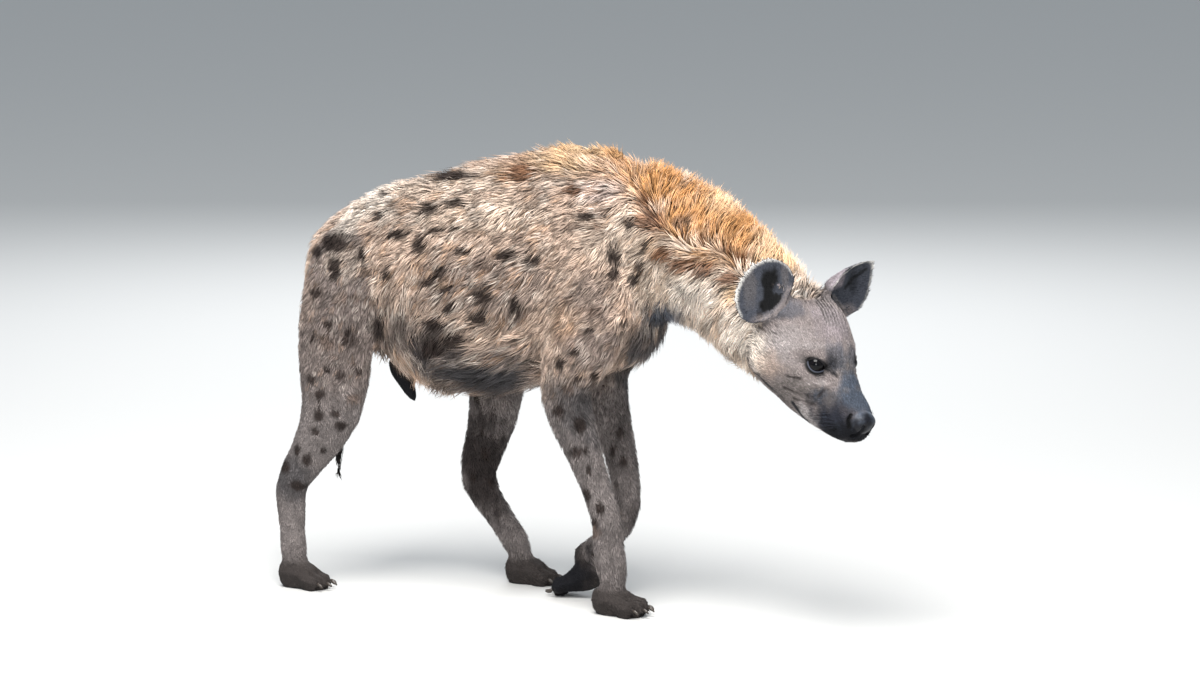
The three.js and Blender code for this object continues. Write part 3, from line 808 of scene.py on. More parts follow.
def shape_lids(points):
    places = to_head(points)
    for side, centre in EYE_CENTRES.items():
        rim, reach = beyond_rim(side, places)
        near = reach < LID_REACH
        lid = BEHIND_BALL + (LID_RADIUS - BEHIND_BALL) * smooth_step(-5, 0.5, rim)
        lid = lid + LID_RIDGE * np.exp(-((rim - RIDGE_AT) / RIDGE_WIDTH) ** 2)
        lid = lid - LID_RIDGE * np.exp(-((rim - CREASE_AT) / RIDGE_WIDTH) ** 2)
        ease = smooth_step(6, LID_BLEND, rim)
        wanted = lid * (1 - ease) + reach * ease
        moved = centre + (places - centre) * (wanted / np.maximum(reach, 1e-6))[:, None]
        places = np.where(near[:, None], moved, places)
    return from_head(places)


set_points(skin.data, shape_lids(points_of(skin.data)))
print("lids shaped")

# %% [markdown]
# The grooves, clefts and lids are in now, so the smooth stretches between them need fewer
# faces. Every vertex that stays keeps the kind of part that was at its place before.

# %% Thin the smooth stretches
SMOOTH_SHARE = 0.73
shaped = points_of(skin.data)
nearest = KDTree(len(shaped))
for index, place in enumerate(shaped.tolist()):
    nearest.insert(place, index)
nearest.balance()
thin = skin.modifiers.new("thin", "DECIMATE")
thin.ratio = SMOOTH_SHARE
apply_modifiers(skin)
kinds = kinds[[nearest.find(place)[1] for place in points_of(skin.data).tolist()]]
skin.data.polygons.foreach_set("use_smooth", np.ones(len(skin.data.polygons), bool))
skin.data.calc_loop_triangles()
print("skin", len(skin.data.loop_triangles), "triangles")

# %% [markdown]
# The eyeball is a glossy sphere, nearly black, with a cornea that bulges a little. A wet
# dark rim lies along the edge of the lids, a thin ring bent to the almond. Along its inner
# edge below the ball runs a paler line, a painted reflection of the wet lid.

# %% Eyeballs and lid rims
CORNEA_BULGE = 1.0 * MM
CORNEA_ANGLE = 38.0
RIM_THICKNESS = 1.7 * MM
RIM_RADIUS = 17.9 * MM
RIM_SIDES, RIM_STEPS = 12, 72
# The paler line on the rim's inner edge below the ball is a painted reflection of the wet lid.
WET_REFLECTION_EDGE, WET_REFLECTION_BELOW = 0.3, -0.12
WET_REFLECTION_COLOUR = (0.05, 0.056, 0.075, 1)


def finish_piece(name, shape, material, slot_name, *replaced):
    mesh = bpy.data.meshes.new(name)
    shape.to_mesh(mesh)
    shape.free()
    mesh.polygons.foreach_set("use_smooth", np.ones(len(mesh.polygons), bool))
    mesh.materials.append(material)
    piece = bpy.data.objects.new(name, mesh)
    bpy.context.scene.collection.objects.link(piece)
    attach(piece, "root")
    if replaced:
        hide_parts(*replaced)
    print(name, len(mesh.polygons), "faces")
    return piece


def give(mesh, name, values, kind="FLOAT"):
    layer = mesh.attributes.new(name, kind, "POINT")
    key = {"FLOAT": "value", "FLOAT_COLOR": "color", "FLOAT_VECTOR": "vector"}[kind]
    layer.data.foreach_set(key, np.asarray(values, np.float32).ravel())


def attribute(material, name):
    return add_node(material, "ShaderNodeAttribute", attribute_name=name)


def ramp(material, source, stops):
    node = add_node(material, "ShaderNodeValToRGB", {"Fac": source})
    for place, colour in stops[2:]:
        node.color_ramp.elements.new(place)
    for element, (place, colour) in zip(node.color_ramp.elements, sorted(stops)):
        element.position = place
        element.color = (*colour, 1)
    return node


eye_glass, eye_shader = principled("eye_glass")
off_centre = attribute(eye_glass, "off_centre").outputs["Fac"]
join(eye_glass, ramp(eye_glass, off_centre, [
    (0.0, (0.001, 0.001, 0.002)), (0.22, (0.001, 0.001, 0.002)), (0.28, (0.004, 0.003, 0.003)),
    (0.46, (0.002, 0.002, 0.003)), (0.52, (0.002, 0.002, 0.002)), (1.0, (0.008, 0.005, 0.005)),
]).outputs["Color"], eye_shader.inputs["Base Color"])
eye_shader.inputs["Roughness"].default_value = 0.05
eye_shader.inputs["Specular IOR Level"].default_value = 0.2

wet_rim, rim_shader = principled("wet_rim")
rim_grain = add_node(wet_rim, "ShaderNodeTexNoise", {"Scale": 900.0, "Detail": 4.0})
rim_dark = ramp(wet_rim, rim_grain.outputs["Fac"], [
    (0.3, (0.004, 0.004, 0.005)), (0.7, (0.014, 0.012, 0.013))])
# The pale attribute marks a painted reflection along the wet lower edge of the lids.
wet_reflection_line = attribute(wet_rim, "pale").outputs["Fac"]
rim_with_reflection = add_node(wet_rim, "ShaderNodeMix", {
    0: wet_reflection_line, 6: rim_dark.outputs["Color"], 7: WET_REFLECTION_COLOUR}, data_type="RGBA")
join(wet_rim, rim_with_reflection.outputs[2], rim_shader.inputs["Base Color"])
rim_shader.inputs["Roughness"].default_value = 0.34
rim_shader.inputs["Specular IOR Level"].default_value = 0.2

for side, centre in EYE_CENTRES.items():
    gaze, corner, rise = eye_axes(side)
    turn = Matrix((head_turn @ corner, head_turn @ rise, head_turn @ gaze)).transposed().to_4x4()
    if side == "left":
        turn = turn @ Matrix.Diagonal((-1, 1, 1, 1))
    place = Matrix.Translation(from_head(centre)) @ turn
    ball = bmesh.new()
    bmesh.ops.create_uvsphere(ball, u_segments=48, v_segments=40, radius=EYE_RADIUS)
    angles = [math.degrees(vert.co.angle(Vector((0, 0, 1)))) for vert in ball.verts]
    for vert, angle in zip(ball.verts, angles):
        vert.co += vert.co.normalized() * CORNEA_BULGE * float(1 - smooth_step(0, CORNEA_ANGLE, angle))
    bmesh.ops.transform(ball, matrix=place, verts=ball.verts)
    bmesh.ops.recalc_face_normals(ball, faces=ball.faces)
    piece = finish_piece(f"eyeball_{side}", ball, eye_glass, "eye", f"eye_{side}")
    give(piece.data, "off_centre", np.array(angles) / 90)

    ring = bmesh.new()
    bmesh.ops.create_circle(ring, segments=RIM_SIDES, radius=RIM_THICKNESS,
                            matrix=Matrix.Translation((1, 0, 0)) @ Matrix.Rotation(math.pi / 2, 4, "X"))
    bmesh.ops.spin(ring, geom=ring.verts[:] + ring.edges[:], cent=(0, 0, 0), axis=(0, 0, 1),
                   angle=2 * math.pi, steps=RIM_STEPS, use_merge=True)
    pale = []
    for vert in ring.verts:
        around_eye = math.atan2(vert.co.y, vert.co.x)
        outward = math.hypot(vert.co.x, vert.co.y) - 1
        # The inner lower edge gets the pale colour, a painted reflection of the wet lid.
        inner_front = min(-outward, vert.co.z) > RIM_THICKNESS * WET_REFLECTION_EDGE
        pale.append(float(inner_front and math.sin(around_eye) < WET_REFLECTION_BELOW))
        nose_side = math.cos(around_eye) > 0
        across = math.cos(around_eye) * (ALMOND_HALF_WIDTH + (TEAR_DUCT if nose_side else 0))
        up, down, _ = almond(np.array(across))
        tall = math.radians(float(up) if math.sin(around_eye) > 0 else -float(down))
        across = math.radians(across)
        away = Vector((math.sin(across) * math.cos(tall), math.sin(tall), math.cos(across) * math.cos(tall)))
        sideways = Vector((math.cos(around_eye), math.sin(around_eye), 0))
        vert.co = away * (RIM_RADIUS + vert.co.z) + sideways * outward
    bmesh.ops.transform(ring, matrix=place, verts=ring.verts)
    bmesh.ops.recalc_face_normals(ring, faces=ring.faces)
    piece = finish_piece(f"lid_rim_{side}", ring, wet_rim, "eye")
    give(piece.data, "pale", pale)

# %% [markdown]
# Claws are blunt, dark horn. The solids already have their shape, so each is copied,
# merged and rounded with a subdivision surface.

# %% Claws
claw_horn, horn_shader = principled("claw_horn")
horn_grain = add_node(claw_horn, "ShaderNodeTexNoise", {"Scale": 260.0, "Detail": 6.0, "Roughness": 0.7})
join(claw_horn, ramp(claw_horn, horn_grain.outputs["Fac"], [
    (0.3, (0.018, 0.014, 0.012)), (0.72, (0.075, 0.058, 0.046)),
]).outputs["Color"], horn_shader.inputs["Base Color"])
horn_shader.inputs["Roughness"].default_value = 0.34
horn_bump = add_node(claw_horn, "ShaderNodeBump", {
    "Height": horn_grain.outputs["Fac"], "Strength": 0.25, "Distance": 0.0006})
join(claw_horn, horn_bump.outputs["Normal"], horn_shader.inputs["Normal"])

for leg in LEGS:
    for toe in TOES:
        name = f"claw_{leg}_{toe}"
        shape = merged_copy(name)
        claw = finish_piece(f"horn_{leg}_{toe}", shape, claw_horn, "claw", name)
        rounding = claw.modifiers.new("rounding", "SUBSURF")
        rounding.levels = rounding.render_levels = 2

# %% [markdown]
# Hair lies the way it grew. On the trunk it runs back and down, on the face away from the
# nose, on the legs down to the toes, and on a hyena's mane up and forward. Short comb
# strokes, each a place in the photograph with a direction, give the lie of the coat where
# it shows. The far side gets the same strokes mirrored.

# %% Comb strokes
STROKES = {
    "rump": [(352, 205, -0.75, 0.66), (331, 235, -0.45, 0.90), (312, 270, -0.15, 1.0)],
    "back": [(400, 182, -0.95, 0.25), (455, 166, -0.96, 0.1), (520, 158, -0.9, -0.2)],
    "flank": [(385, 225, -0.75, 0.66), (430, 210, -0.85, 0.5), (480, 200, -0.87, 0.5),
              (535, 200, -0.87, 0.5), (430, 260, -0.75, 0.66), (480, 260, -0.8, 0.6),
              (535, 260, -0.8, 0.6), (400, 290, -0.4, 0.9), (460, 305, -0.7, 0.7),
              (520, 310, -0.6, 0.8)],
    "thigh": [(340, 290, -0.45, 0.9), (362, 330, -0.35, 0.94), (320, 350, -0.3, 0.95),
              (340, 400, -0.3, 0.95), (312, 430, -0.3, 0.95)],
    "fold": [(385, 320, 0.1, 1.0), (400, 345, 0.35, 0.93), (409, 366, 0.4, 0.9)],
    "belly": [(500, 350, -0.93, 0.36), (470, 370, -0.9, 0.43), (440, 372, -0.8, 0.6),
              (520, 375, -0.9, 0.43), (435, 340, -0.7, 0.7)],
    "shoulder": [(560, 200, -0.85, 0.5), (600, 200, -0.8, 0.6), (630, 215, -0.6, 0.8),
                 (580, 250, -0.8, 0.6), (620, 260, -0.6, 0.8), (570, 310, -0.7, 0.7),
                 (610, 310, -0.7, 0.7), (635, 300, -0.5, 0.85), (560, 365, -0.4, 0.9)],
    "chest": [(650, 330, -0.1, 1.0), (640, 352, -0.5, 0.85), (600, 360, -0.75, 0.6)],
    "throat": [(665, 322, 0.2, 0.98), (690, 328, -0.2, 0.98), (720, 342, -0.6, 0.8),
               (750, 350, -0.4, 0.9), (756, 372, -0.3, 0.95)],
    "neck": [(670, 262, -0.75, 0.66), (670, 290, -0.6, 0.8), (700, 290, -0.7, 0.7),
             (735, 300, -0.5, 0.85), (715, 275, -0.8, 0.6)],
    "mane": [(565, 158, -0.92, -0.4), (610, 148, -0.6, -0.8), (650, 168, 0.35, -0.93),
             (655, 200, 0.5, -0.85), (700, 195, 0.5, -0.85), (690, 228, 0.6, -0.8),
             (740, 225, 0.5, -0.85), (745, 246, 0.7, -0.7), (780, 250, 0.5, -0.85),
             (800, 264, 0.5, -0.8)],
}
NECK_START_X = 0.10
NECK_END_BEHIND_HEAD = 0.12
MIDLINE_BESIDE_HEAD = 0.045


def midline_at(x):
    """Sideways place of the body's middle: straight along the trunk, then towards the head."""
    bend = smooth_step(NECK_START_X, head_origin[0] - NECK_END_BEHIND_HEAD, x)
    return MIDLINE_Y + (head_origin[1] + MIDLINE_BESIDE_HEAD - MIDLINE_Y) * bend


def mirrored(point, part):
    """The same place on the other side of the body, or of the head."""
    if kind_of((FLESH + EYES)[part]) in ("head", "lower_jaw", "ear", "nose_pad", "eye"):
        return from_head(to_head(point) * (1, -1, 1)), head_turn @ np.diag((1.0, -1.0, 1.0)) @ head_turn.T
    other = np.array([point[0], 2 * midline_at(point[0]) - point[1], point[2]])
    found = outer.find_nearest(Vector(other))[0]
    return np.array(found), np.diag((1.0, -1.0, 1.0))


right, up = np.array(view_right), np.array(view_up)
stroke_places, stroke_ways = [], []
for strokes in STROKES.values():
    for px, py, dx, dy in strokes:
        place, part = seen_at(px, py)
        way = right * dx - up * dy
        other, flip = mirrored(place, part)
        stroke_places += [place, other]
        stroke_ways += [way, flip @ way]
stroke_places, stroke_ways = np.array(stroke_places), np.array(stroke_ways)

NOSE_TIP = np.array([150, 0, -34]) * MM
DOWN_THE_LEG = np.array([0.08, 0.0, -1.0])
DOWN_THE_PAW = np.array([0.75, 0, -0.6])
STROKE_CORE = 1e-4
COMBING_ROUNDS = 10


def lie_of_hair(mesh, kinds):
    """The way the hair points at each vertex, flat on the skin."""
    points, normals = points_of(mesh), normals_of(mesh)
    lie = np.zeros_like(points)
    for place, way in zip(stroke_places, stroke_ways):
        lie += way / (((points - place) ** 2).sum(1) + STROKE_CORE)[:, None] ** 2
    lie = unit(lie)
    places = to_head(points)
    from_nose = unit(places - NOSE_TIP) @ head_turn.T
    lie = np.where(is_kind(kinds, "head", "lower_jaw", "nose_pad", "eye")[:, None], from_nose, lie)
    for ear in EARS.values():
        own = belongs_to(ear, places, kinds)
        lie = np.where(own[:, None], unit(places - ear["base"]) @ head_turn.T, lie)
    lie = np.where(is_kind(kinds, "forearm", "shank", "tail", "sheath")[:, None], DOWN_THE_LEG, lie)
    lie = np.where(is_kind(kinds, "paw")[:, None], DOWN_THE_PAW, lie)
    around = Net(mesh)
    for _ in range(COMBING_ROUNDS):
        lie = around.mean_around(lie) + lie
        lie = unit(lie - normals * (lie * normals).sum(1)[:, None])
    return lie


lie = lie_of_hair(skin.data, kinds)
print(len(stroke_places), "comb strokes")

# %% [markdown]
# The coat is painted as a mount maker airbrushes one: a ground colour for each part, soft
# patches over it, then fine lines on the head, and then the spots. Each patch is an ellipse
# with its place and size as seen in the photograph. Skin and hair ask the same painter for
# their colour, so the markings match.

# %% Finishes
def srgb(*levels):
    """A screen colour, 0 to 255, as the light values that a material works with."""
    value = np.array(levels) / 255
    return np.where(value <= 0.04045, value / 12.92, ((value + 0.055) / 1.055) ** 2.4)


FINISH = {
    "buff": srgb(204, 180, 163),
    "pale_buff": srgb(222, 203, 186),
    "cream": srgb(246, 234, 222),
    "ginger": srgb(196, 145, 94),
    "pale_ginger": srgb(224, 190, 152),
    "ochre": srgb(178, 136, 98),
    "rust": srgb(150, 98, 68),
    "pink_grey": srgb(222, 202, 194),
    "taupe": srgb(134, 122, 117),
    "leg_brown": srgb(134, 126, 124),
    "slate": srgb(78, 76, 78),
    "blue_grey": srgb(80, 88, 101),
    "dark_brown": srgb(48, 41, 40),
    "face_grey": srgb(148, 138, 136),
    "pale_grey": srgb(182, 175, 174),
    "cheek": srgb(122, 115, 112),
    "muzzle": srgb(42, 44, 54),
    "ear_grey": srgb(68, 71, 80),
    "ear_back": srgb(160, 150, 156),
    "foot": srgb(68, 62, 60),
    "soot": srgb(22, 23, 29),
    "black": srgb(5, 5, 7),
    "white": srgb(240, 236, 230),
    "spot": srgb(50, 41, 38),
    "faint_spot": srgb(118, 100, 90),
    "brown_spot": srgb(116, 78, 54),
}
GROUND = {
    "trunk": "buff", "neck": "pale_buff", "upper_arm": "buff", "thigh": "taupe", "forearm": "leg_brown",
    "shank": "leg_brown", "paw": "foot", "head": "face_grey", "lower_jaw": "pale_grey", "nose_pad": "soot",
    "ear": "ear_grey", "tail": "buff", "sheath": "soot", "eye": "soot",
}

# %% [markdown]
# Soft patches come first, listed roughly by region: the rump and back, whose cream top is
# a painted highlight, the ginger mane, the belly painted dark, the face with its dark
# muzzle, then the ears and the legs. Painted light and shade are among them: the flank's
# paler top and darker middle, partly their own colour, painted shade on the front of the
# chest, in the right ear's canal and on the far legs, and a painted highlight on the nose
# pad. A patch is mirrored to the far side, but not from ear to ear, because the two ears
# are turned differently.

# %% Soft patches
PATCHES = [
    # finish, x, y, width, height, strength
    # The cream and pale buff patches along the top of the rump and back are a painted highlight.
    ("cream", 372, 202, 70, 50, 0.85), ("cream", 345, 222, 44, 44, 0.6),
    ("pale_buff", 425, 186, 90, 34, 0.6), ("pale_buff", 480, 180, 110, 30, 0.6),
    ("ochre", 525, 166, 70, 34, 0.5), ("buff", 300, 300, 60, 80, 0.3),
    # The pale buff upper flank and the taupe middle below it are partly their own colour and partly painted
    # light: lighter on top, where the light falls.
    ("pale_buff", 480, 214, 170, 50, 0.6), ("taupe", 480, 286, 200, 80, 0.6),
    ("taupe", 330, 350, 90, 120, 0.2), ("slate", 290, 478, 60, 70, 0.8),
    ("pale_buff", 345, 262, 60, 50, 0.4), ("pale_ginger", 560, 160, 80, 36, 0.8),
    ("pale_ginger", 618, 146, 110, 34, 0.95), ("ginger", 642, 152, 60, 30, 0.5),
    ("ginger", 655, 182, 76, 72, 0.95), ("ginger", 690, 210, 92, 84, 0.95),
    ("ginger", 735, 236, 84, 66, 0.9), ("pale_ginger", 780, 256, 70, 44, 0.9),
    ("pale_ginger", 815, 276, 44, 26, 0.8), ("pale_ginger", 600, 142, 90, 16, 0.5),
    ("pale_ginger", 722, 205, 60, 30, 0.5), ("pale_ginger", 770, 240, 50, 24, 0.4),
    ("ginger", 628, 152, 44, 24, 0.5), ("pink_grey", 600, 192, 58, 32, 0.7),
    ("pale_buff", 605, 235, 76, 70, 0.6), ("pale_buff", 625, 225, 30, 60, 0.4),
    ("cream", 690, 296, 90, 46, 0.8), ("cream", 735, 330, 60, 60, 0.8), ("cream", 755, 350, 34, 60, 0.85),
    ("ochre", 662, 246, 60, 34, 0.6), ("rust", 650, 222, 34, 30, 0.6), ("taupe", 590, 300, 60, 70, 0.55),
    ("ochre", 565, 325, 44, 50, 0.4), ("ochre", 700, 262, 80, 26, 0.35), ("cream", 672, 243, 50, 16, 0.4),
    # The belly is painted dark slate and dark brown, darkest along its bottom.
    ("slate", 480, 380, 180, 74, 1.0), ("dark_brown", 470, 388, 120, 40, 0.35),
    ("slate", 430, 345, 60, 60, 0.75), ("slate", 398, 335, 44, 70, 0.7),
    ("dark_brown", 379, 328, 20, 46, 0.95), ("dark_brown", 445, 338, 84, 44, 0.6),
    ("dark_brown", 500, 322, 50, 20, 0.4), ("taupe", 500, 350, 90, 20, 0.35),
    # The blue-grey patch at 664, 316 and the slate patch at 645, 345 are painted shade on the front of the
    # chest.
    ("taupe", 495, 402, 50, 24, 0.4), ("blue_grey", 664, 316, 56, 28, 0.95),
    ("slate", 645, 345, 56, 66, 0.9), ("slate", 625, 372, 60, 44, 0.6), ("taupe", 590, 352, 96, 56, 0.75),
    ("face_grey", 800, 350, 90, 70, 0.5), ("pale_grey", 785, 336, 56, 34, 0.4),
    ("pale_grey", 776, 352, 40, 34, 0.4), ("buff", 768, 366, 34, 36, 0.5), ("cheek", 792, 389, 64, 30, 0.8),
    ("ear_back", 835, 320, 40, 60, 0.35), ("cheek", 842, 368, 34, 30, 0.6),
    ("blue_grey", 850, 390, 34, 50, 0.85), ("slate", 828, 402, 46, 34, 0.85),
    ("muzzle", 832, 424, 74, 46, 1.0), ("muzzle", 846, 410, 44, 34, 0.8), ("soot", 856, 432, 50, 40, 1.0),
    ("blue_grey", 858, 398, 30, 60, 0.85), ("cheek", 846, 390, 10, 8, 0.35),
    # The small blue-grey patch on the nose pad at 857, 416 is a painted highlight.
    ("soot", 834, 436, 34, 18, 0.9), ("blue_grey", 857, 416, 12, 7, 0.4),
    ("blue_grey", 836, 358, 26, 36, 0.55), ("soot", 831, 364, 20, 26, 0.7),
    ("pale_grey", 812, 346, 34, 9, 0.35), ("pale_grey", 818, 383, 30, 6, 0.4),
    ("cheek", 785, 404, 60, 14, 0.8), ("white", 800, 294, 16, 6, 0.6), ("ear_back", 836, 280, 22, 28, 0.9),
    # The black patches at 769, 281, at 769, 296 and at 764, 306 are painted shade in the right ear's canal.
    ("black", 769, 281, 19, 26, 1.0), ("black", 769, 296, 12, 20, 1.0), ("black", 764, 306, 10, 16, 1.0),
    ("soot", 760, 316, 8, 14, 0.9), ("cheek", 750, 285, 16, 44, 0.35), ("cheek", 785, 275, 8, 28, 0.35),
    ("blue_grey", 786, 311, 40, 22, 0.6), ("soot", 776, 317, 40, 10, 0.4), ("soot", 853, 281, 10, 26, 0.6),
    ("foot", 287, 580, 60, 40, 0.7), ("foot", 620, 604, 60, 30, 0.6), ("soot", 560, 575, 80, 60, 0.8),
    # The dark brown patches at 640, 515, at 620, 440 and at 486, 470 are painted shade on the far legs.
    ("dark_brown", 640, 515, 40, 50, 0.6), ("dark_brown", 620, 440, 36, 130, 0.4),
    ("dark_brown", 486, 470, 76, 130, 0.75), ("slate", 575, 405, 70, 90, 0.8),
]
HEAD_LINES = [
    # finish, strength, half-width mm, on both sides, lines
    ("pale_grey", 0.5, 3.4, False, FOREHEAD_FOLDS),
    # The dark lines along the forehead and cheek folds are painted shade in the creases.
    ("dark_brown", 0.9, 2.2, False, FOREHEAD_FOLDS),
    ("dark_brown", 0.75, 2.8, True, CHEEK_FOLDS),
    ("soot", 0.85, 4.0, True, [TEAR_LINE]),
    ("soot", 0.95, 6.0, True, [LIP_LINE]),
    # The black in the nostril hole and slit is painted shade in the openings.
    ("black", 1.0, 5.0, True, [NOSTRIL_HOLE, NOSTRIL_SLIT]),
    ("black", 0.8, 4.0, False, [[(845, 288), (853, 278), (866, 269)]]),
    ("white", 0.8, 2.0, False, [[(834, 287), (843, 275), (853, 267), (864, 262)]]),
    ("white", 0.7, 2.6, False, [[(791, 289), (798, 292), (806, 297)]]),
]
SPOTS = {
    "spot": [
        (397, 234, 16, 8), (430, 208, 16, 9), (459, 202, 14, 8), (451, 176, 34, 8), (437, 230, 12, 5),
        (420, 246, 9, 16), (455, 228, 10, 5), (464, 251, 14, 8), (504, 257, 14, 10), (532, 260, 16, 6),
        (388, 274, 9, 14), (441, 272, 8, 10), (429, 282, 12, 9), (447, 289, 10, 8), (483, 294, 17, 14),
        (516, 305, 8, 18), (362, 253, 8, 8), (333, 243, 25, 14), (315, 250, 12, 12), (335, 270, 8, 20),
        (383, 194, 8, 4), (377, 216, 8, 7), (315, 293, 10, 7), (328, 324, 8, 7), (312, 337, 7, 9),
        (348, 337, 11, 13), (326, 370, 8, 7), (311, 380, 7, 8), (341, 376, 7, 7), (358, 372, 8, 7),
        (320, 395, 8, 7), (319, 416, 10, 9), (335, 414, 9, 6), (340, 426, 8, 6), (315, 432, 8, 7),
        (297, 451, 5, 10), (307, 460, 11, 11), (323, 451, 6, 6), (284, 466, 9, 8), (298, 486, 13, 8),
        (433, 322, 12, 8), (449, 308, 10, 8), (480, 318, 16, 12), (456, 339, 20, 8), (435, 349, 14, 14),
        (588, 216, 14, 6), (628, 224, 12, 12), (615, 256, 9, 12), (614, 274, 10, 8), (634, 280, 9, 10),
        (641, 266, 8, 12), (647, 245, 6, 16), (588, 331, 8, 7), (623, 324, 10, 4), (560, 364, 7, 9),
        (575, 353, 7, 7), (578, 379, 8, 7), (594, 377, 8, 7), (558, 412, 11, 13), (580, 426, 9, 13),
        (576, 453, 17, 11), (588, 471, 6, 8), (586, 495, 8, 11), (600, 509, 9, 9), (587, 522, 7, 9),
    ],
    "brown_spot": [
        (524, 172, 22, 15), (572, 191, 12, 10), (644, 201, 14, 14), (655, 218, 12, 9), (665, 254, 14, 10),
        (681, 266, 16, 13), (705, 272, 19, 12), (730, 280, 18, 11), (727, 251, 14, 7), (743, 259, 17, 6),
        (703, 239, 6, 5),
    ],
    "faint_spot": [
        (393, 203, 14, 8), (518, 237, 12, 8), (483, 266, 18, 13), (424, 268, 8, 7), (365, 272, 8, 8),
        (339, 299, 12, 8), (357, 297, 9, 8), (603, 212, 14, 10), (573, 228, 14, 8), (682, 224, 12, 8),
        (569, 303, 7, 7), (596, 312, 9, 8), (558, 339, 7, 12), (327, 345, 12, 10), (352, 400, 10, 8),
        (592, 534, 12, 10), (588, 368, 8, 7), (568, 388, 9, 8),
    ],
}
SPOT_SCALE = 1.22
EAR_PATCH_EDGE, PATCH_EDGE = 0.4, 0.62
PAINT_DEPTH = 60 * MM
BODY_PAINT_DEPTH = 115 * MM
MM_PER_PIXEL = 1.81


def ellipse(px, py, width, height):
    place, part = seen_at(px, py)
    axes = np.array([right, up, view_ahead])
    size = np.array([width, height]) * MM_PER_PIXEL * MM / 2
    kind = kind_of((FLESH + EYES)[part])
    depth = BODY_PAINT_DEPTH if kind in ("trunk", "neck") else PAINT_DEPTH
    other, flip = mirrored(place, part)
    sizes = np.array([*size, depth])
    if kind == "ear":
        return [(place, axes, sizes, True)]
    return [(place, axes, sizes, False), (other, axes @ flip.T, sizes, False)]


patches = [(name, shape, strength) for name, px, py, width, height, strength in PATCHES
           for shape in ellipse(px, py, width, height)]
print(len(patches), "soft patches,", sum(map(len, SPOTS.values())), "spots drawn from the photograph")

# %% [markdown]
# The spots that the photograph shows are mirrored to the far flank with a seeded jog, since
# no hyena is the same on both sides. The far legs get small seeded spots besides.

# %% Spots
SPOTS_PER_PART = 15
JOG = np.array([16, 6, 14]) * MM
SPOT_STRENGTH = {"spot": 0.95, "brown_spot": 0.85, "faint_spot": 0.7}
spot_dice = np.random.default_rng(SEED)
spots = []
for name, marks in SPOTS.items():
    for px, py, width, height in marks:
        seen, unseen = ellipse(px, py, width * SPOT_SCALE, height * SPOT_SCALE)
        spots.append((name, seen))
        place, axes, sizes, on_ear = unseen
        jog = spot_dice.normal(0, 1, 3) * JOG
        place = np.array(outer.find_nearest(Vector(place + jog))[0])
        spots.append((name, (place, axes, sizes * spot_dice.uniform(0.85, 1.15), on_ear)))
for name in FLESH:
    if kind_of(name) not in ("forearm", "shank", "thigh", "upper_arm") or "left" not in name:
        continue
    low, high = (np.array(corner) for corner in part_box(name))
    for _ in range(SPOTS_PER_PART):
        near = spot_dice.uniform(low, high)
        place = np.array(outer.find_nearest(Vector(near))[0])
        size = np.array([spot_dice.uniform(5, 9), spot_dice.uniform(6, 11), 12]) * MM
        spots.append(("spot", (place, np.eye(3)[[0, 2, 1]], size, False)))
print(len(spots), "spots on both sides")

# %% [markdown]
# The painter takes points of the skin or the hair and gives each its colour: ground, then
# patches, lines and spots. Soft seeded noise makes their edges uneven, as hair does.

# %% The painter
RIPPLE_WAVES = 7
WAVE_SHORTNESS = 0.6
RIPPLE_HEIGHT = 3.2
HEAD_REACH = np.array([190, 150, 150]) * MM


def inside(points, shape, rough):
    """1 in the middle of an ellipse and 0 at its rough edge."""
    place, axes, sizes, _ = shape
    offset = (points - place) @ axes.T / sizes
    return 1 - np.sqrt((offset ** 2).sum(1)) * rough


def ripples(points, size, seed):
    """Soft seeded noise between -1 and 1, from a few crossing waves."""
    dice = np.random.default_rng(seed)
    total = np.zeros(len(points))
    for _ in range(RIPPLE_WAVES):
        wave = dice.normal(0, 1, 3) * 2 * math.pi / size * WAVE_SHORTNESS
        total += np.sin(points @ wave + dice.uniform(0, 2 * math.pi))
    return total / RIPPLE_HEIGHT


def painted(points, kinds_soft, on_ear):
    """The coat's colour at points. kinds_soft is the share of each part at each point."""
    ground = kinds_soft @ np.array([FINISH[GROUND[kind]] for kind in KINDS])
    wobble = 1 + 0.22 * ripples(points, 38 * MM, 1) + 0.12 * ripples(points, 12 * MM, 2)

    def cover_shape(name, shape, strength, first, last, margin):
        place, _, sizes, for_ear = shape
        near = (np.abs(points - place).max(1) < sizes.max() * margin) & (on_ear == for_ear)
        cover = smooth_step(first, last, inside(points[near], shape, wobble[near])) * strength
        ground[near] += (FINISH[name] - ground[near]) * cover[:, None]

    for name, shape, strength in patches:
        cover_shape(name, shape, strength, -0.15, EAR_PATCH_EDGE if shape[3] else PATCH_EDGE, 1.3)
    places = to_head(points)
    by_head = (np.abs(places) < HEAD_REACH).all(1)
    for name, strength, half_width, both_sides, lines in HEAD_LINES:
        near = by_head & ~(on_ear & both_sides)
        for pixels in lines:
            for line in head_line(pixels, both_sides):
                away = near_line(places[near], line) / (half_width * MM)
                cover = (1 - smooth_step(0.35, 1.25, away * wobble[near])) * strength
                ground[near] += (FINISH[name] - ground[near]) * cover[:, None]
    for name, shape in spots:
        cover_shape(name, shape, SPOT_STRENGTH[name], -0.38, 0.3, 1.5)
    return ground


share_of_kind = Net(skin.data).spread(np.eye(len(KINDS))[kinds], 16)
skin_colour = painted(points_of(skin.data), share_of_kind, is_kind(kinds, "ear"))
print("skin painted, mean colour", skin_colour.mean(0).round(3))

# %% [markdown]
# Some places keep one plain finish: the nose pad, the inside of the ears, the lids, the
# lips and the soles. They are masked by shape, not by the brush. The ear cups are painted
# blacker with depth and their canals black, as painted shade.

# %% Bare places
points, normals = points_of(skin.data), normals_of(skin.data)
places = to_head(points)
bare = np.zeros(len(points))


def cover_with(name, amount):
    global skin_colour
    skin_colour = skin_colour + (FINISH[name] - skin_colour) * amount[:, None]
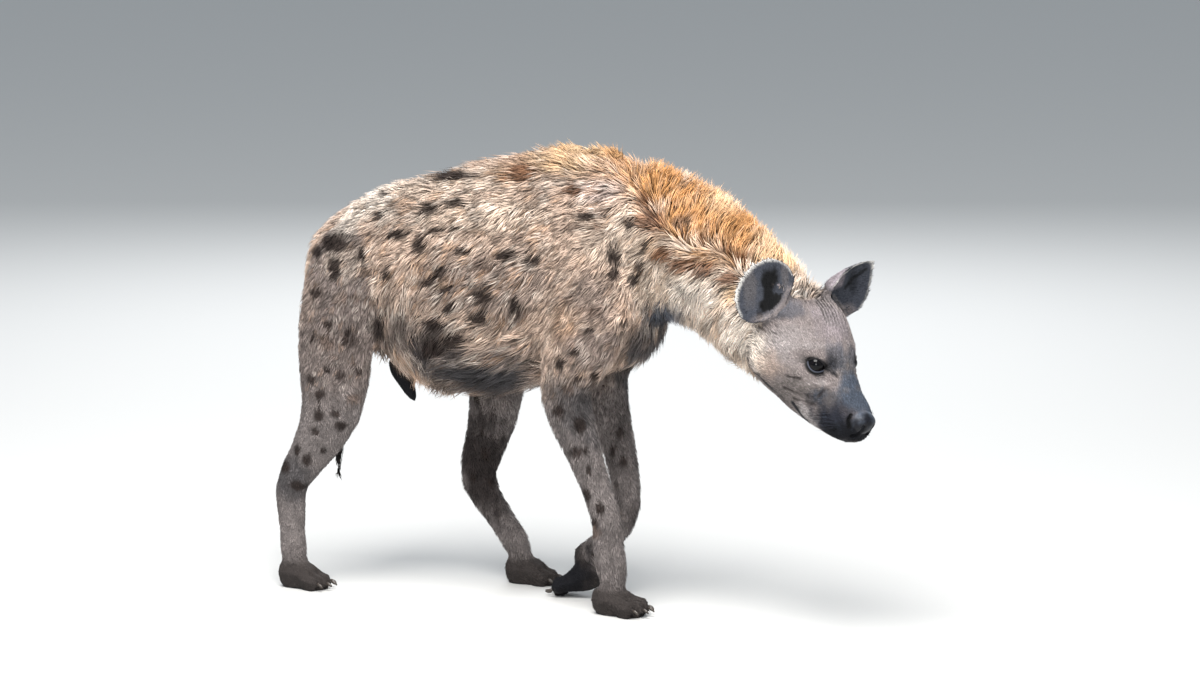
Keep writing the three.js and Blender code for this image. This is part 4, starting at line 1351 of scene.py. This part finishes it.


# The first two depths are where the painted shade in the ear cup begins and where it is full.
CUP_SHADE_FROM, CUP_SHADE_FULL = 33 * MM, 46 * MM
CANAL_FLOOR, CANAL_REACH = 10 * MM, 23 * MM
RIM_FROM, RIM_TO = 3.0 * MM, 1.0 * MM
LIP_FROM, LIP_FULL = 7 * MM, 3 * MM
SOLE_BELOW = 12 * MM
EAR_HAIR_THINNED = 0.42
head_normals = normals @ head_turn
in_ear = np.zeros(len(points))
on_rim = np.zeros(len(points))
canal = np.zeros(len(points))
for ear in EARS.values():
    own = belongs_to(ear, places, kinds)
    height, out, rooted = on_ear_plane(ear, places)
    faces_in = smooth_step(-0.2, 0.1, head_normals @ ear["faces"])
    faces_in = faces_in * (1 - rooted * smooth_step(0.72, 0.95, out))
    in_ear = np.maximum(in_ear, own * faces_in)
    edge = own * (1 - smooth_step(RIM_TO, RIM_FROM, np.abs(height))) * (1 - rooted)
    on_rim = np.maximum(on_rim, edge)
    cover_with("ear_back", own * (1 - faces_in) * (1 - edge) * (1 - rooted) * 0.85)
    cover_with("face_grey", own * rooted * smooth_step(0.6, 0.9, out) * 0.8)
    faces_hollow = smooth_step(0.2, 0.5, head_normals @ ear["faces"])
    # Painted shade: the ear cup is painted black deeper in.
    cover_with("black", own * faces_hollow * smooth_step(CUP_SHADE_FROM, CUP_SHADE_FULL, -height) * 0.9)
    cover_with("white", edge * 0.9)
    # Painted shade: the floor of the canal is painted black.
    to_floor = np.linalg.norm(places - ear["base"] - ear["faces"] * CANAL_FLOOR, axis=1)
    canal_floor = (to_floor < CANAL_REACH) * (out < 0.7) * faces_hollow
    cover_with("black", canal_floor)
    canal = np.maximum(canal, canal_floor)
for side in EYE_CENTRES:
    cover_with("black", dark_lids(side, places, 0.85, 1.12))
    bare = np.maximum(bare, dark_lids(side, places, 0.78, 0.98))
lip = np.zeros(len(points))
for line in head_line(LIP_LINE):
    lip = np.maximum(lip, 1 - smooth_step(LIP_FULL, LIP_FROM, near_line(places, line)))
cover_with("soot", lip * 0.9)
nose = Net(skin.data).spread(is_kind(kinds, "nose_pad").astype(float), 3)
thin_in_ear = smooth_step(0.3, 0.6, in_ear) * EAR_HAIR_THINNED
bare = np.maximum.reduce([bare, canal, lip * 0.8, nose, thin_in_ear])
sole = is_kind(kinds, "paw") * smooth_step(-0.5, -0.8, normals[:, 2]) * (points[:, 2] < SOLE_BELOW)
cover_with("soot", sole)
bare = np.maximum(bare, sole)
give(skin.data, "coat_colour", np.c_[skin_colour, np.ones(len(points))], "FLOAT_COLOR")
give(skin.data, "bare", bare)
print("bare share", round(float(bare.mean()), 3))

# %% [markdown]
# Skin under hair is dull and dark, because little light reaches it. Bare skin on the nose
# and lips is finely pebbled and damp, so it shines a little.

# %% Skin material
UNDERCOAT_SHADE = 0.58
hide, hide_shader = principled("hide")
colour = attribute(hide, "coat_colour").outputs["Color"]
bare_mask = attribute(hide, "bare").outputs["Fac"]
object_place = add_node(hide, "ShaderNodeTexCoord").outputs["Object"]
fur_grain = add_node(hide, "ShaderNodeTexNoise", {"Vector": object_place, "Scale": 420.0, "Detail": 6.0})
pebbles = add_node(hide, "ShaderNodeTexVoronoi", {"Vector": object_place, "Scale": 620.0})
shade = add_node(hide, "ShaderNodeMix", {0: bare_mask, 2: UNDERCOAT_SHADE, 3: 0.95})
grain_shade = add_node(hide, "ShaderNodeMapRange", {
    "Value": fur_grain.outputs["Fac"], "From Min": 0.3, "From Max": 0.7, "To Min": 0.65, "To Max": 1.3})
darker = add_node(hide, "ShaderNodeMath", {0: shade.outputs[0], 1: grain_shade.outputs[0]},
                  operation="MULTIPLY")
tinted = add_node(hide, "ShaderNodeVectorMath", {0: colour, "Scale": darker.outputs[0]},
                  operation="SCALE")
join(hide, tinted.outputs["Vector"], hide_shader.inputs["Base Color"])
gloss = add_node(hide, "ShaderNodeMix", {0: bare_mask, 2: 0.85, 3: 0.38})
join(hide, gloss.outputs[0], hide_shader.inputs["Roughness"])
hide_shader.inputs["Specular IOR Level"].default_value = 0.2
relief = add_node(hide, "ShaderNodeMix", {
    0: bare_mask, 2: fur_grain.outputs["Fac"], 3: pebbles.outputs["Distance"]})
hide_bump = add_node(hide, "ShaderNodeBump", {
    "Height": relief.outputs[0], "Strength": 0.5, "Distance": 0.0008})
join(hide, hide_bump.outputs["Normal"], hide_shader.inputs["Normal"])
skin.data.materials.clear()
skin.data.materials.append(hide)
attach(skin, "root")
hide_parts(*FLESH)

# %% [markdown]
# Roots for the tufts are scattered over the skin's triangles, more of them where the coat
# is dense. Each takes the lie, length, lift and colour of the skin under it.

# %% Scatter the roots
MOST_TUFTS = 148000
SQUARE_CM = 1e-4
HAIR_THINS_AT, BALD_AT = 0.25, 0.7
fields, mane = coat_fields(skin.data, kinds, 10)
skin.data.calc_loop_triangles()
corners = array_of(skin.data.loop_triangles, "vertices", 3, int)
a, b, c = (points[corners[:, k]] for k in range(3))
areas = np.linalg.norm(np.cross(b - a, c - a), axis=1) / 2
crowd = fields[:, CROWD] * (1 - smooth_step(HAIR_THINS_AT, BALD_AT, bare)) / SQUARE_CM
crowd_here = crowd[corners].mean(1) * areas
dice = np.random.default_rng(SEED + 1)
wanted = int(crowd_here.sum())
count = min(wanted, MOST_TUFTS)
chosen = dice.choice(len(areas), count, p=crowd_here / crowd_here.sum())
mix = np.sqrt(dice.random((count, 2)))
mix = np.stack([1 - mix[:, 0], mix[:, 0] * (1 - mix[:, 1]), mix[:, 0] * mix[:, 1]], 1)


def at_roots(values):
    picked = values[corners[chosen]]
    return (picked * mix.reshape(count, 3, *[1] * (picked.ndim - 2))).sum(1)


root = at_roots(points)
root_normal = unit(at_roots(normals))
root_lie = unit(at_roots(lie))
root_fields = at_roots(fields)
root_share = at_roots(share_of_kind)
root_kind = kinds[corners[chosen, 0]]
root_mane, root_rim = at_roots(mane), at_roots(on_rim)
print("skin area", round(float(areas.sum()), 3), "square metres,", wanted, "tufts wanted,", count, "made")

# %% [markdown]
# A tuft is a thin closed spike with a flat three-cornered section that bends once and
# ends in a point. It has seven vertices and ten triangles, so that a whole coat of them
# stays light. Neighbours lean together into locks, as damp or oily hair does.

# %% Shape the tufts
TUFTS_PER_LOCK = 13
FACE_CONTRAST = 1.9
EAR_CONTRAST = 2.4
BODY_CONTRAST = 1.15
LOCK_TINTS = [
    # finish, first and last part of the locks, strength
    ("cream", 0.0, 0.2, 0.42), ("ochre", 0.2, 0.34, 0.42), ("dark_brown", 0.34, 0.42, 0.25),
]
SINK = 0.6 * MM
LOWEST_TIP, LOWEST_BEND = 1.5 * MM, 1.0 * MM
EAR_CUP_FROM, EAR_CUP_TO = -46 * MM, 12 * MM
EAR_CUP_WIDTH = 0.97
FACE_LOCK_SHARE, BODY_LOCK_SHARE = 0.22, 0.58
TUFT_FACES = np.array([(0, 1, 2), (0, 3, 4), (0, 4, 1), (1, 4, 5), (1, 5, 2), (2, 5, 3), (2, 3, 0),
                       (3, 6, 4), (4, 6, 5), (5, 6, 3)])
TUFT_POINTS = 7

length = root_fields[:, LENGTH] * MM * dice.uniform(0.62, 1.18, count)
lift = np.radians(root_fields[:, LIFT]) * dice.uniform(0.6, 1.35, count)
width = root_fields[:, WIDTH] * MM * dice.uniform(0.6, 1.15, count)
swirl = ripples(root, 46 * MM, 11) * 0.30 + ripples(root, 17 * MM, 12) * 0.26 + dice.normal(0, 0.16, count)
swirl = swirl * np.where(is_kind(root_kind, "head", "lower_jaw", "ear", "paw"), 0.35, 1.0)
side_way = np.cross(root_normal, root_lie)
way = root_lie * np.cos(swirl)[:, None] + side_way * np.sin(swirl)[:, None]
across = unit(np.cross(root_normal, way))


def lifted(angle):
    return way * np.cos(angle)[:, None] + root_normal * np.sin(angle)[:, None]


start = root - root_normal * SINK
bend = start + lifted(lift * 1.3) * (length * 0.5)[:, None]
tip = bend + lifted(lift * 0.5) * (length * 0.5)[:, None]

is_lock = dice.permutation(count)[:count // TUFTS_PER_LOCK]
locks = KDTree(len(is_lock))
for index, member in enumerate(is_lock):
    locks.insert(Vector(root[member]), index)
locks.balance()
lock_of = is_lock[np.array([locks.find(Vector(p))[1] for p in root])]
pull = np.clip(dice.normal(0.42, 0.12, count), 0, 0.7)
pull *= smooth_step(4 * MM, 14 * MM, length) * (1 - 0.5 * root_mane)
same_way = (way * way[lock_of]).sum(1) > 0.2
pull = (pull * same_way)[:, None]
as_long = length / np.maximum(length[lock_of], 1e-6)
lock_tip = root[lock_of] + (tip[lock_of] - root[lock_of]) * as_long[:, None]
tip = tip + (lock_tip - tip) * pull
bend = bend + (lock_tip - tip) * pull * 0.22
tip[:, 2] = np.maximum(tip[:, 2], LOWEST_TIP)
bend[:, 2] = np.maximum(bend[:, 2], LOWEST_BEND)

pierces = np.zeros(count, bool)
for ear in EARS.values():
    for end in (bend, tip):
        height, out, _ = on_ear_plane(ear, to_head(end))
        pierces |= (out < EAR_CUP_WIDTH) & (height > EAR_CUP_FROM) & (height < EAR_CUP_TO)
pierces &= ~is_kind(root_kind, "ear")
print(int(pierces.sum()), "hairs left out that would pierce an ear")

half = (width / 2)[:, None]
thick = root_normal * half * 0.5
low_ring = [start + across * half, start - across * half, start + thick]
high_ring = [bend + across * half * 0.8, bend - across * half * 0.8, bend + thick * 0.8]
tuft_verts = np.stack(low_ring + high_ring + [tip], 1)
seen_middle = (start + bend * 2 + tip) / 4
tuft_colour = painted(seen_middle, root_share, is_kind(root_kind, "ear"))
lock_dice = np.random.default_rng(SEED + 2)
lock_shade = lock_dice.uniform(0, 1, count)[lock_of]
lock_tint = lock_dice.uniform(0, 1, count)[lock_of]
on_body = is_kind(root_kind, "trunk", "neck") + 0.5 * is_kind(root_kind, "upper_arm", "thigh")
on_body = on_body * (1 - 0.7 * root_mane) * smooth_step(0.06, 0.24, tuft_colour.mean(1))
for name, first, last, strength in LOCK_TINTS:
    tint = on_body * ((lock_tint >= first) & (lock_tint < last)) * strength * dice.uniform(0.4, 1.0, count)
    tuft_colour += (FINISH[name] - tuft_colour) * tint[:, None]
lock_part = np.where(is_kind(root_kind, "head", "lower_jaw", "ear"), FACE_LOCK_SHARE, BODY_LOCK_SHARE)
strand = (1 - lock_part) * dice.random(count) + lock_part * lock_shade
contrast = np.where(is_kind(root_kind, "head", "lower_jaw"), FACE_CONTRAST, BODY_CONTRAST)
contrast = np.where(is_kind(root_kind, "ear"), EAR_CONTRAST, contrast)
strand = np.clip(0.5 + (strand - 0.5) * contrast, 0, 1)
print("tufts shaped, mean length", round(float(length.mean() / MM), 1), "mm")

# %% [markdown]
# The hairs next to the eye are black as its lids are, the ears carry a rim of short white
# hairs, and the tail ends in a black tuft. Those hairs are repainted.

# %% Hairs of one plain colour
TAIL_BLACK_FROM, TAIL_BLACK_TO = 0.46, 0.36
REPAINT = 0.9


def repaint(name, mask):
    tuft_colour[:] += (FINISH[name] - tuft_colour) * (mask * REPAINT)[:, None]


for side in EYE_CENTRES:
    by_eye = is_kind(root_kind, "head", "eye")
    repaint("black", dark_lids(side, to_head(seen_middle), 0.9, 1.15) * by_eye)
in_tail = is_kind(root_kind, "tail")
repaint("black", in_tail * smooth_step(TAIL_BLACK_FROM, TAIL_BLACK_TO, root[:, 2]))
repaint("white", smooth_step(0.4, 0.8, root_rim))
print("lids, tail tuft and ear rims repainted")

# %% [markdown]
# Hair is lighter at its tip than at its root, partly its own colour and partly painted
# shade deep in the coat, varies from lock to lock, and has a soft shine along its length.
# Those three things are in the material; the painter gives the colour.

# %% Coat material
coat_hair, hair_shader = principled("coat_hair")
hair_colour = attribute(coat_hair, "coat_colour").outputs["Color"]
along_mask = attribute(coat_hair, "along").outputs["Fac"]
strand_mask = attribute(coat_hair, "strand").outputs["Fac"]
hair_place = add_node(coat_hair, "ShaderNodeTexCoord").outputs["Object"]
# Lighter tips are partly the hair's own colour. The darker roots are partly painted shade inside the coat.
tip_light_and_root_shade = add_node(coat_hair, "ShaderNodeMapRange", {
    "Value": along_mask, "From Min": 0.0, "From Max": 1.0, "To Min": 0.55, "To Max": 1.3})
strand_light = add_node(coat_hair, "ShaderNodeMapRange", {
    "Value": strand_mask, "To Min": 0.5, "To Max": 1.5})
patchiness = add_node(coat_hair, "ShaderNodeTexNoise", {
    "Vector": hair_place, "Scale": 34.0, "Detail": 5.0})
patch_light = add_node(coat_hair, "ShaderNodeMapRange", {
    "Value": patchiness.outputs["Fac"], "From Min": 0.3, "From Max": 0.7, "To Min": 0.82, "To Max": 1.16})
light = add_node(coat_hair, "ShaderNodeMath", {0: tip_light_and_root_shade.outputs[0], 1: strand_light.outputs[0]},
                 operation="MULTIPLY")
light = add_node(coat_hair, "ShaderNodeMath", {0: light.outputs[0], 1: patch_light.outputs[0]},
                 operation="MULTIPLY")
shaded = add_node(coat_hair, "ShaderNodeVectorMath", {0: hair_colour, "Scale": light.outputs[0]},
                  operation="SCALE")
join(coat_hair, shaded.outputs["Vector"], hair_shader.inputs["Base Color"])
hair_shader.inputs["Roughness"].default_value = 0.62
hair_shader.inputs["Specular IOR Level"].default_value = 0.14

# %% [markdown]
# The coat is split into pieces by region, each light enough to handle. Its UV map unrolls
# each region about its own length: one direction is the distance along, the other the
# angle round it, and each tuft keeps a small patch at its root's place.

# %% Build the coat's pieces
BAKE_PATCH = 0.003
SPLIT_Z = 0.60
ALONG_BODY, ALONG_NECK, ALONG_HEAD, ALONG_LEG = (1, 0, 0), (1, 0, -0.4), (0.75, -0.37, -0.55), (0, 0, 1)
BANDS = 12
UNCLAIMED = -1

# a region's name gives the slot of its piece and the direction that it is unrolled along
REGIONS = {}
for side in SIDES:
    for where in ("upper", "lower"):
        REGIONS[f"coat_trunk_{side}_{where}"] = ("coat", ALONG_BODY)
REGIONS["coat_mane"] = ("mane", ALONG_NECK)
REGIONS |= {f"coat_neck_{side}": ("mane", ALONG_NECK) for side in SIDES}
REGIONS |= {f"coat_head_{side}": ("face", ALONG_HEAD) for side in SIDES}
REGIONS["coat_ears"] = ("ear", ALONG_HEAD)
REGIONS |= {f"coat_{leg}": ("leg", ALONG_LEG) for leg in LEGS}
REGIONS["coat_tail"] = ("tail", ALONG_LEG)
region_names = list(REGIONS)
part_names = np.array(FLESH + EYES)[parts_of(root)]
on_right = root[:, 1] < midline_at(root[:, 0])
region = np.full(count, UNCLAIMED)


def claim(piece, mask):
    region[mask & (region == UNCLAIMED)] = region_names.index(piece)


claim("coat_tail", is_kind(root_kind, "tail", "sheath"))
claim("coat_ears", is_kind(root_kind, "ear"))
on_face_part = is_kind(root_kind, "head", "lower_jaw", "nose_pad", "eye")
claim("coat_head_right", on_face_part & (to_head(root)[:, 1] < 0))
claim("coat_head_left", on_face_part)
for leg in LEGS:
    claim(f"coat_{leg}", np.char.endswith(part_names, leg))
on_neck = is_kind(root_kind, "neck")
claim("coat_mane", on_neck & (root_mane > 0.55))
claim("coat_neck_right", on_neck & on_right)
claim("coat_neck_left", on_neck)
claim("coat_trunk_right_upper", on_right & (root[:, 2] > SPLIT_Z))
claim("coat_trunk_right_lower", on_right)
claim("coat_trunk_left_upper", root[:, 2] > SPLIT_Z)
claim("coat_trunk_left_lower", np.ones(count, bool))
region[pierces] = UNCLAIMED


def unrolled(roots, along):
    """Distance along a region and angle round its own middle line, both from 0 to 1."""
    along = unit(np.array(along, float))
    side = unit(np.cross(along, (0.0, 1.0, 0.3)))
    top = np.cross(along, side)
    far = roots @ along
    far = (far - far.min()) / max(np.ptp(far), 1e-6)
    steps = np.linspace(0, 1, BANDS + 1)
    band = np.clip(np.digitize(far, steps) - 1, 0, BANDS - 1)
    filled = [k for k in range(BANDS) if (band == k).any()]
    centres = np.array([roots[band == k].mean(0) for k in filled])
    middles = steps[filled] + steps[1] / 2
    centre = np.stack([np.interp(far, middles, centres[:, k]) for k in range(3)], 1)
    turn = np.arctan2((roots - centre) @ side, (roots - centre) @ top)
    return np.stack([far, (turn + math.pi) / (2 * math.pi)], 1) * (1 - 2 * BAKE_PATCH) + BAKE_PATCH


def build_tufts(name, chosen_tufts, verts, colours, strands, material, along):
    number = len(chosen_tufts)
    mesh = bpy.data.meshes.new(name)
    flat = verts[chosen_tufts].reshape(-1, 3)
    faces = (np.arange(number)[:, None, None] * TUFT_POINTS + TUFT_FACES).reshape(-1)
    mesh.vertices.add(len(flat))
    mesh.vertices.foreach_set("co", flat.astype(np.float32).ravel())
    mesh.loops.add(len(faces))
    mesh.loops.foreach_set("vertex_index", faces.astype(np.int32))
    mesh.polygons.add(number * len(TUFT_FACES))
    mesh.polygons.foreach_set("loop_start", np.arange(0, len(faces), 3, dtype=np.int32))
    mesh.polygons.foreach_set("use_smooth", np.ones(number * len(TUFT_FACES), bool))
    mesh.update(calc_edges=True)
    with_alpha = np.c_[colours[chosen_tufts], np.ones(number)]
    give(mesh, "coat_colour", np.repeat(with_alpha, TUFT_POINTS, 0), "FLOAT_COLOR")
    give(mesh, "strand", np.repeat(strands[chosen_tufts], TUFT_POINTS))
    give(mesh, "along", np.tile([0, 0, 0, 0.5, 0.5, 0.5, 1.0], number))
    corner_place = np.array([(0, 0), (1, 0), (0.5, 0), (0, 0.5), (1, 0.5), (0.5, 0.5), (0.5, 1)])
    patch = (corner_place[TUFT_FACES.ravel()] - 0.5) * BAKE_PATCH * 0.9
    uv = unrolled(flat.reshape(-1, TUFT_POINTS, 3)[:, 0], along)[:, None] + patch
    bake_map = mesh.uv_layers.new(name="OFBake")
    bake_map.data.foreach_set("uv", uv.astype(np.float32).ravel())
    mesh.materials.append(material)
    piece = bpy.data.objects.new(name, mesh)
    bpy.context.scene.collection.objects.link(piece)
    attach(piece, "root")
    print(name, number, "tufts,", number * len(TUFT_FACES), "triangles")


for index, (name, (slot_name, along)) in enumerate(REGIONS.items()):
    members = np.flatnonzero(region == index)
    build_tufts(name, members, tuft_verts, tuft_colour, strand, coat_hair, along)
print("coat", int((region != UNCLAIMED).sum()) * len(TUFT_FACES), "triangles")

# %% [markdown]
# A hyena has stiff black whiskers in rows on the fleshy pads of its muzzle. They sweep out
# and back, so each is one long thin spike of the same form as a tuft.

# %% Whiskers
WHISKER_ROWS, WHISKERS_IN_ROW = 3, 5
WHISKER_LENGTH = 52 * MM
WHISKER_WIDTH = 0.9 * MM
FIRST_WHISKER = np.array([112, 60, -44])
NEXT_IN_ROW, NEXT_ROW = np.array([-9, 0, 1.5]), np.array([0, 0, -9])
whisker_dice = np.random.default_rng(SEED + 5)
skin_tree = BVHTree.FromPolygons(points.tolist(), corners.tolist())
whisker_verts = []
for flip in (-1, 1):
    for row in range(WHISKER_ROWS):
        for step in range(WHISKERS_IN_ROW):
            aim = FIRST_WHISKER * (1, flip, 1) + NEXT_IN_ROW * step + NEXT_ROW * row
            aim = aim + whisker_dice.normal(0, 1.5, 3)
            place, normal, _, _ = skin_tree.find_nearest(Vector(from_head(aim * MM)))
            out = unit(np.array(normal) + 0.35 * head_turn @ np.array([-1.0, flip * 1.2, -0.5]))
            back = head_turn @ unit(np.array([-1.0, flip * 0.35, -0.55]))
            long = WHISKER_LENGTH * whisker_dice.uniform(0.55, 1.15) * (0.6 + 0.1 * step)
            start = np.array(place) - np.array(normal) * SINK
            bend = start + out * long * 0.45
            tip = bend + unit(out + back * 0.9) * long * 0.55
            side = unit(np.cross(out, back)) * WHISKER_WIDTH / 2
            rise = np.cross(side, out) * 0.8
            low_ring = [start + side, start - side, start + rise]
            high_ring = [bend + side * 0.6, bend - side * 0.6, bend + rise * 0.6]
            whisker_verts.append(low_ring + high_ring + [tip])
whisker_verts = np.array(whisker_verts)
whisker_count = len(whisker_verts)
all_black = np.tile(FINISH["black"], (whisker_count, 1))
all_even = np.full(whisker_count, 0.5)
build_tufts("whiskers", np.arange(whisker_count), whisker_verts, all_black, all_even, coat_hair,
            ALONG_HEAD)
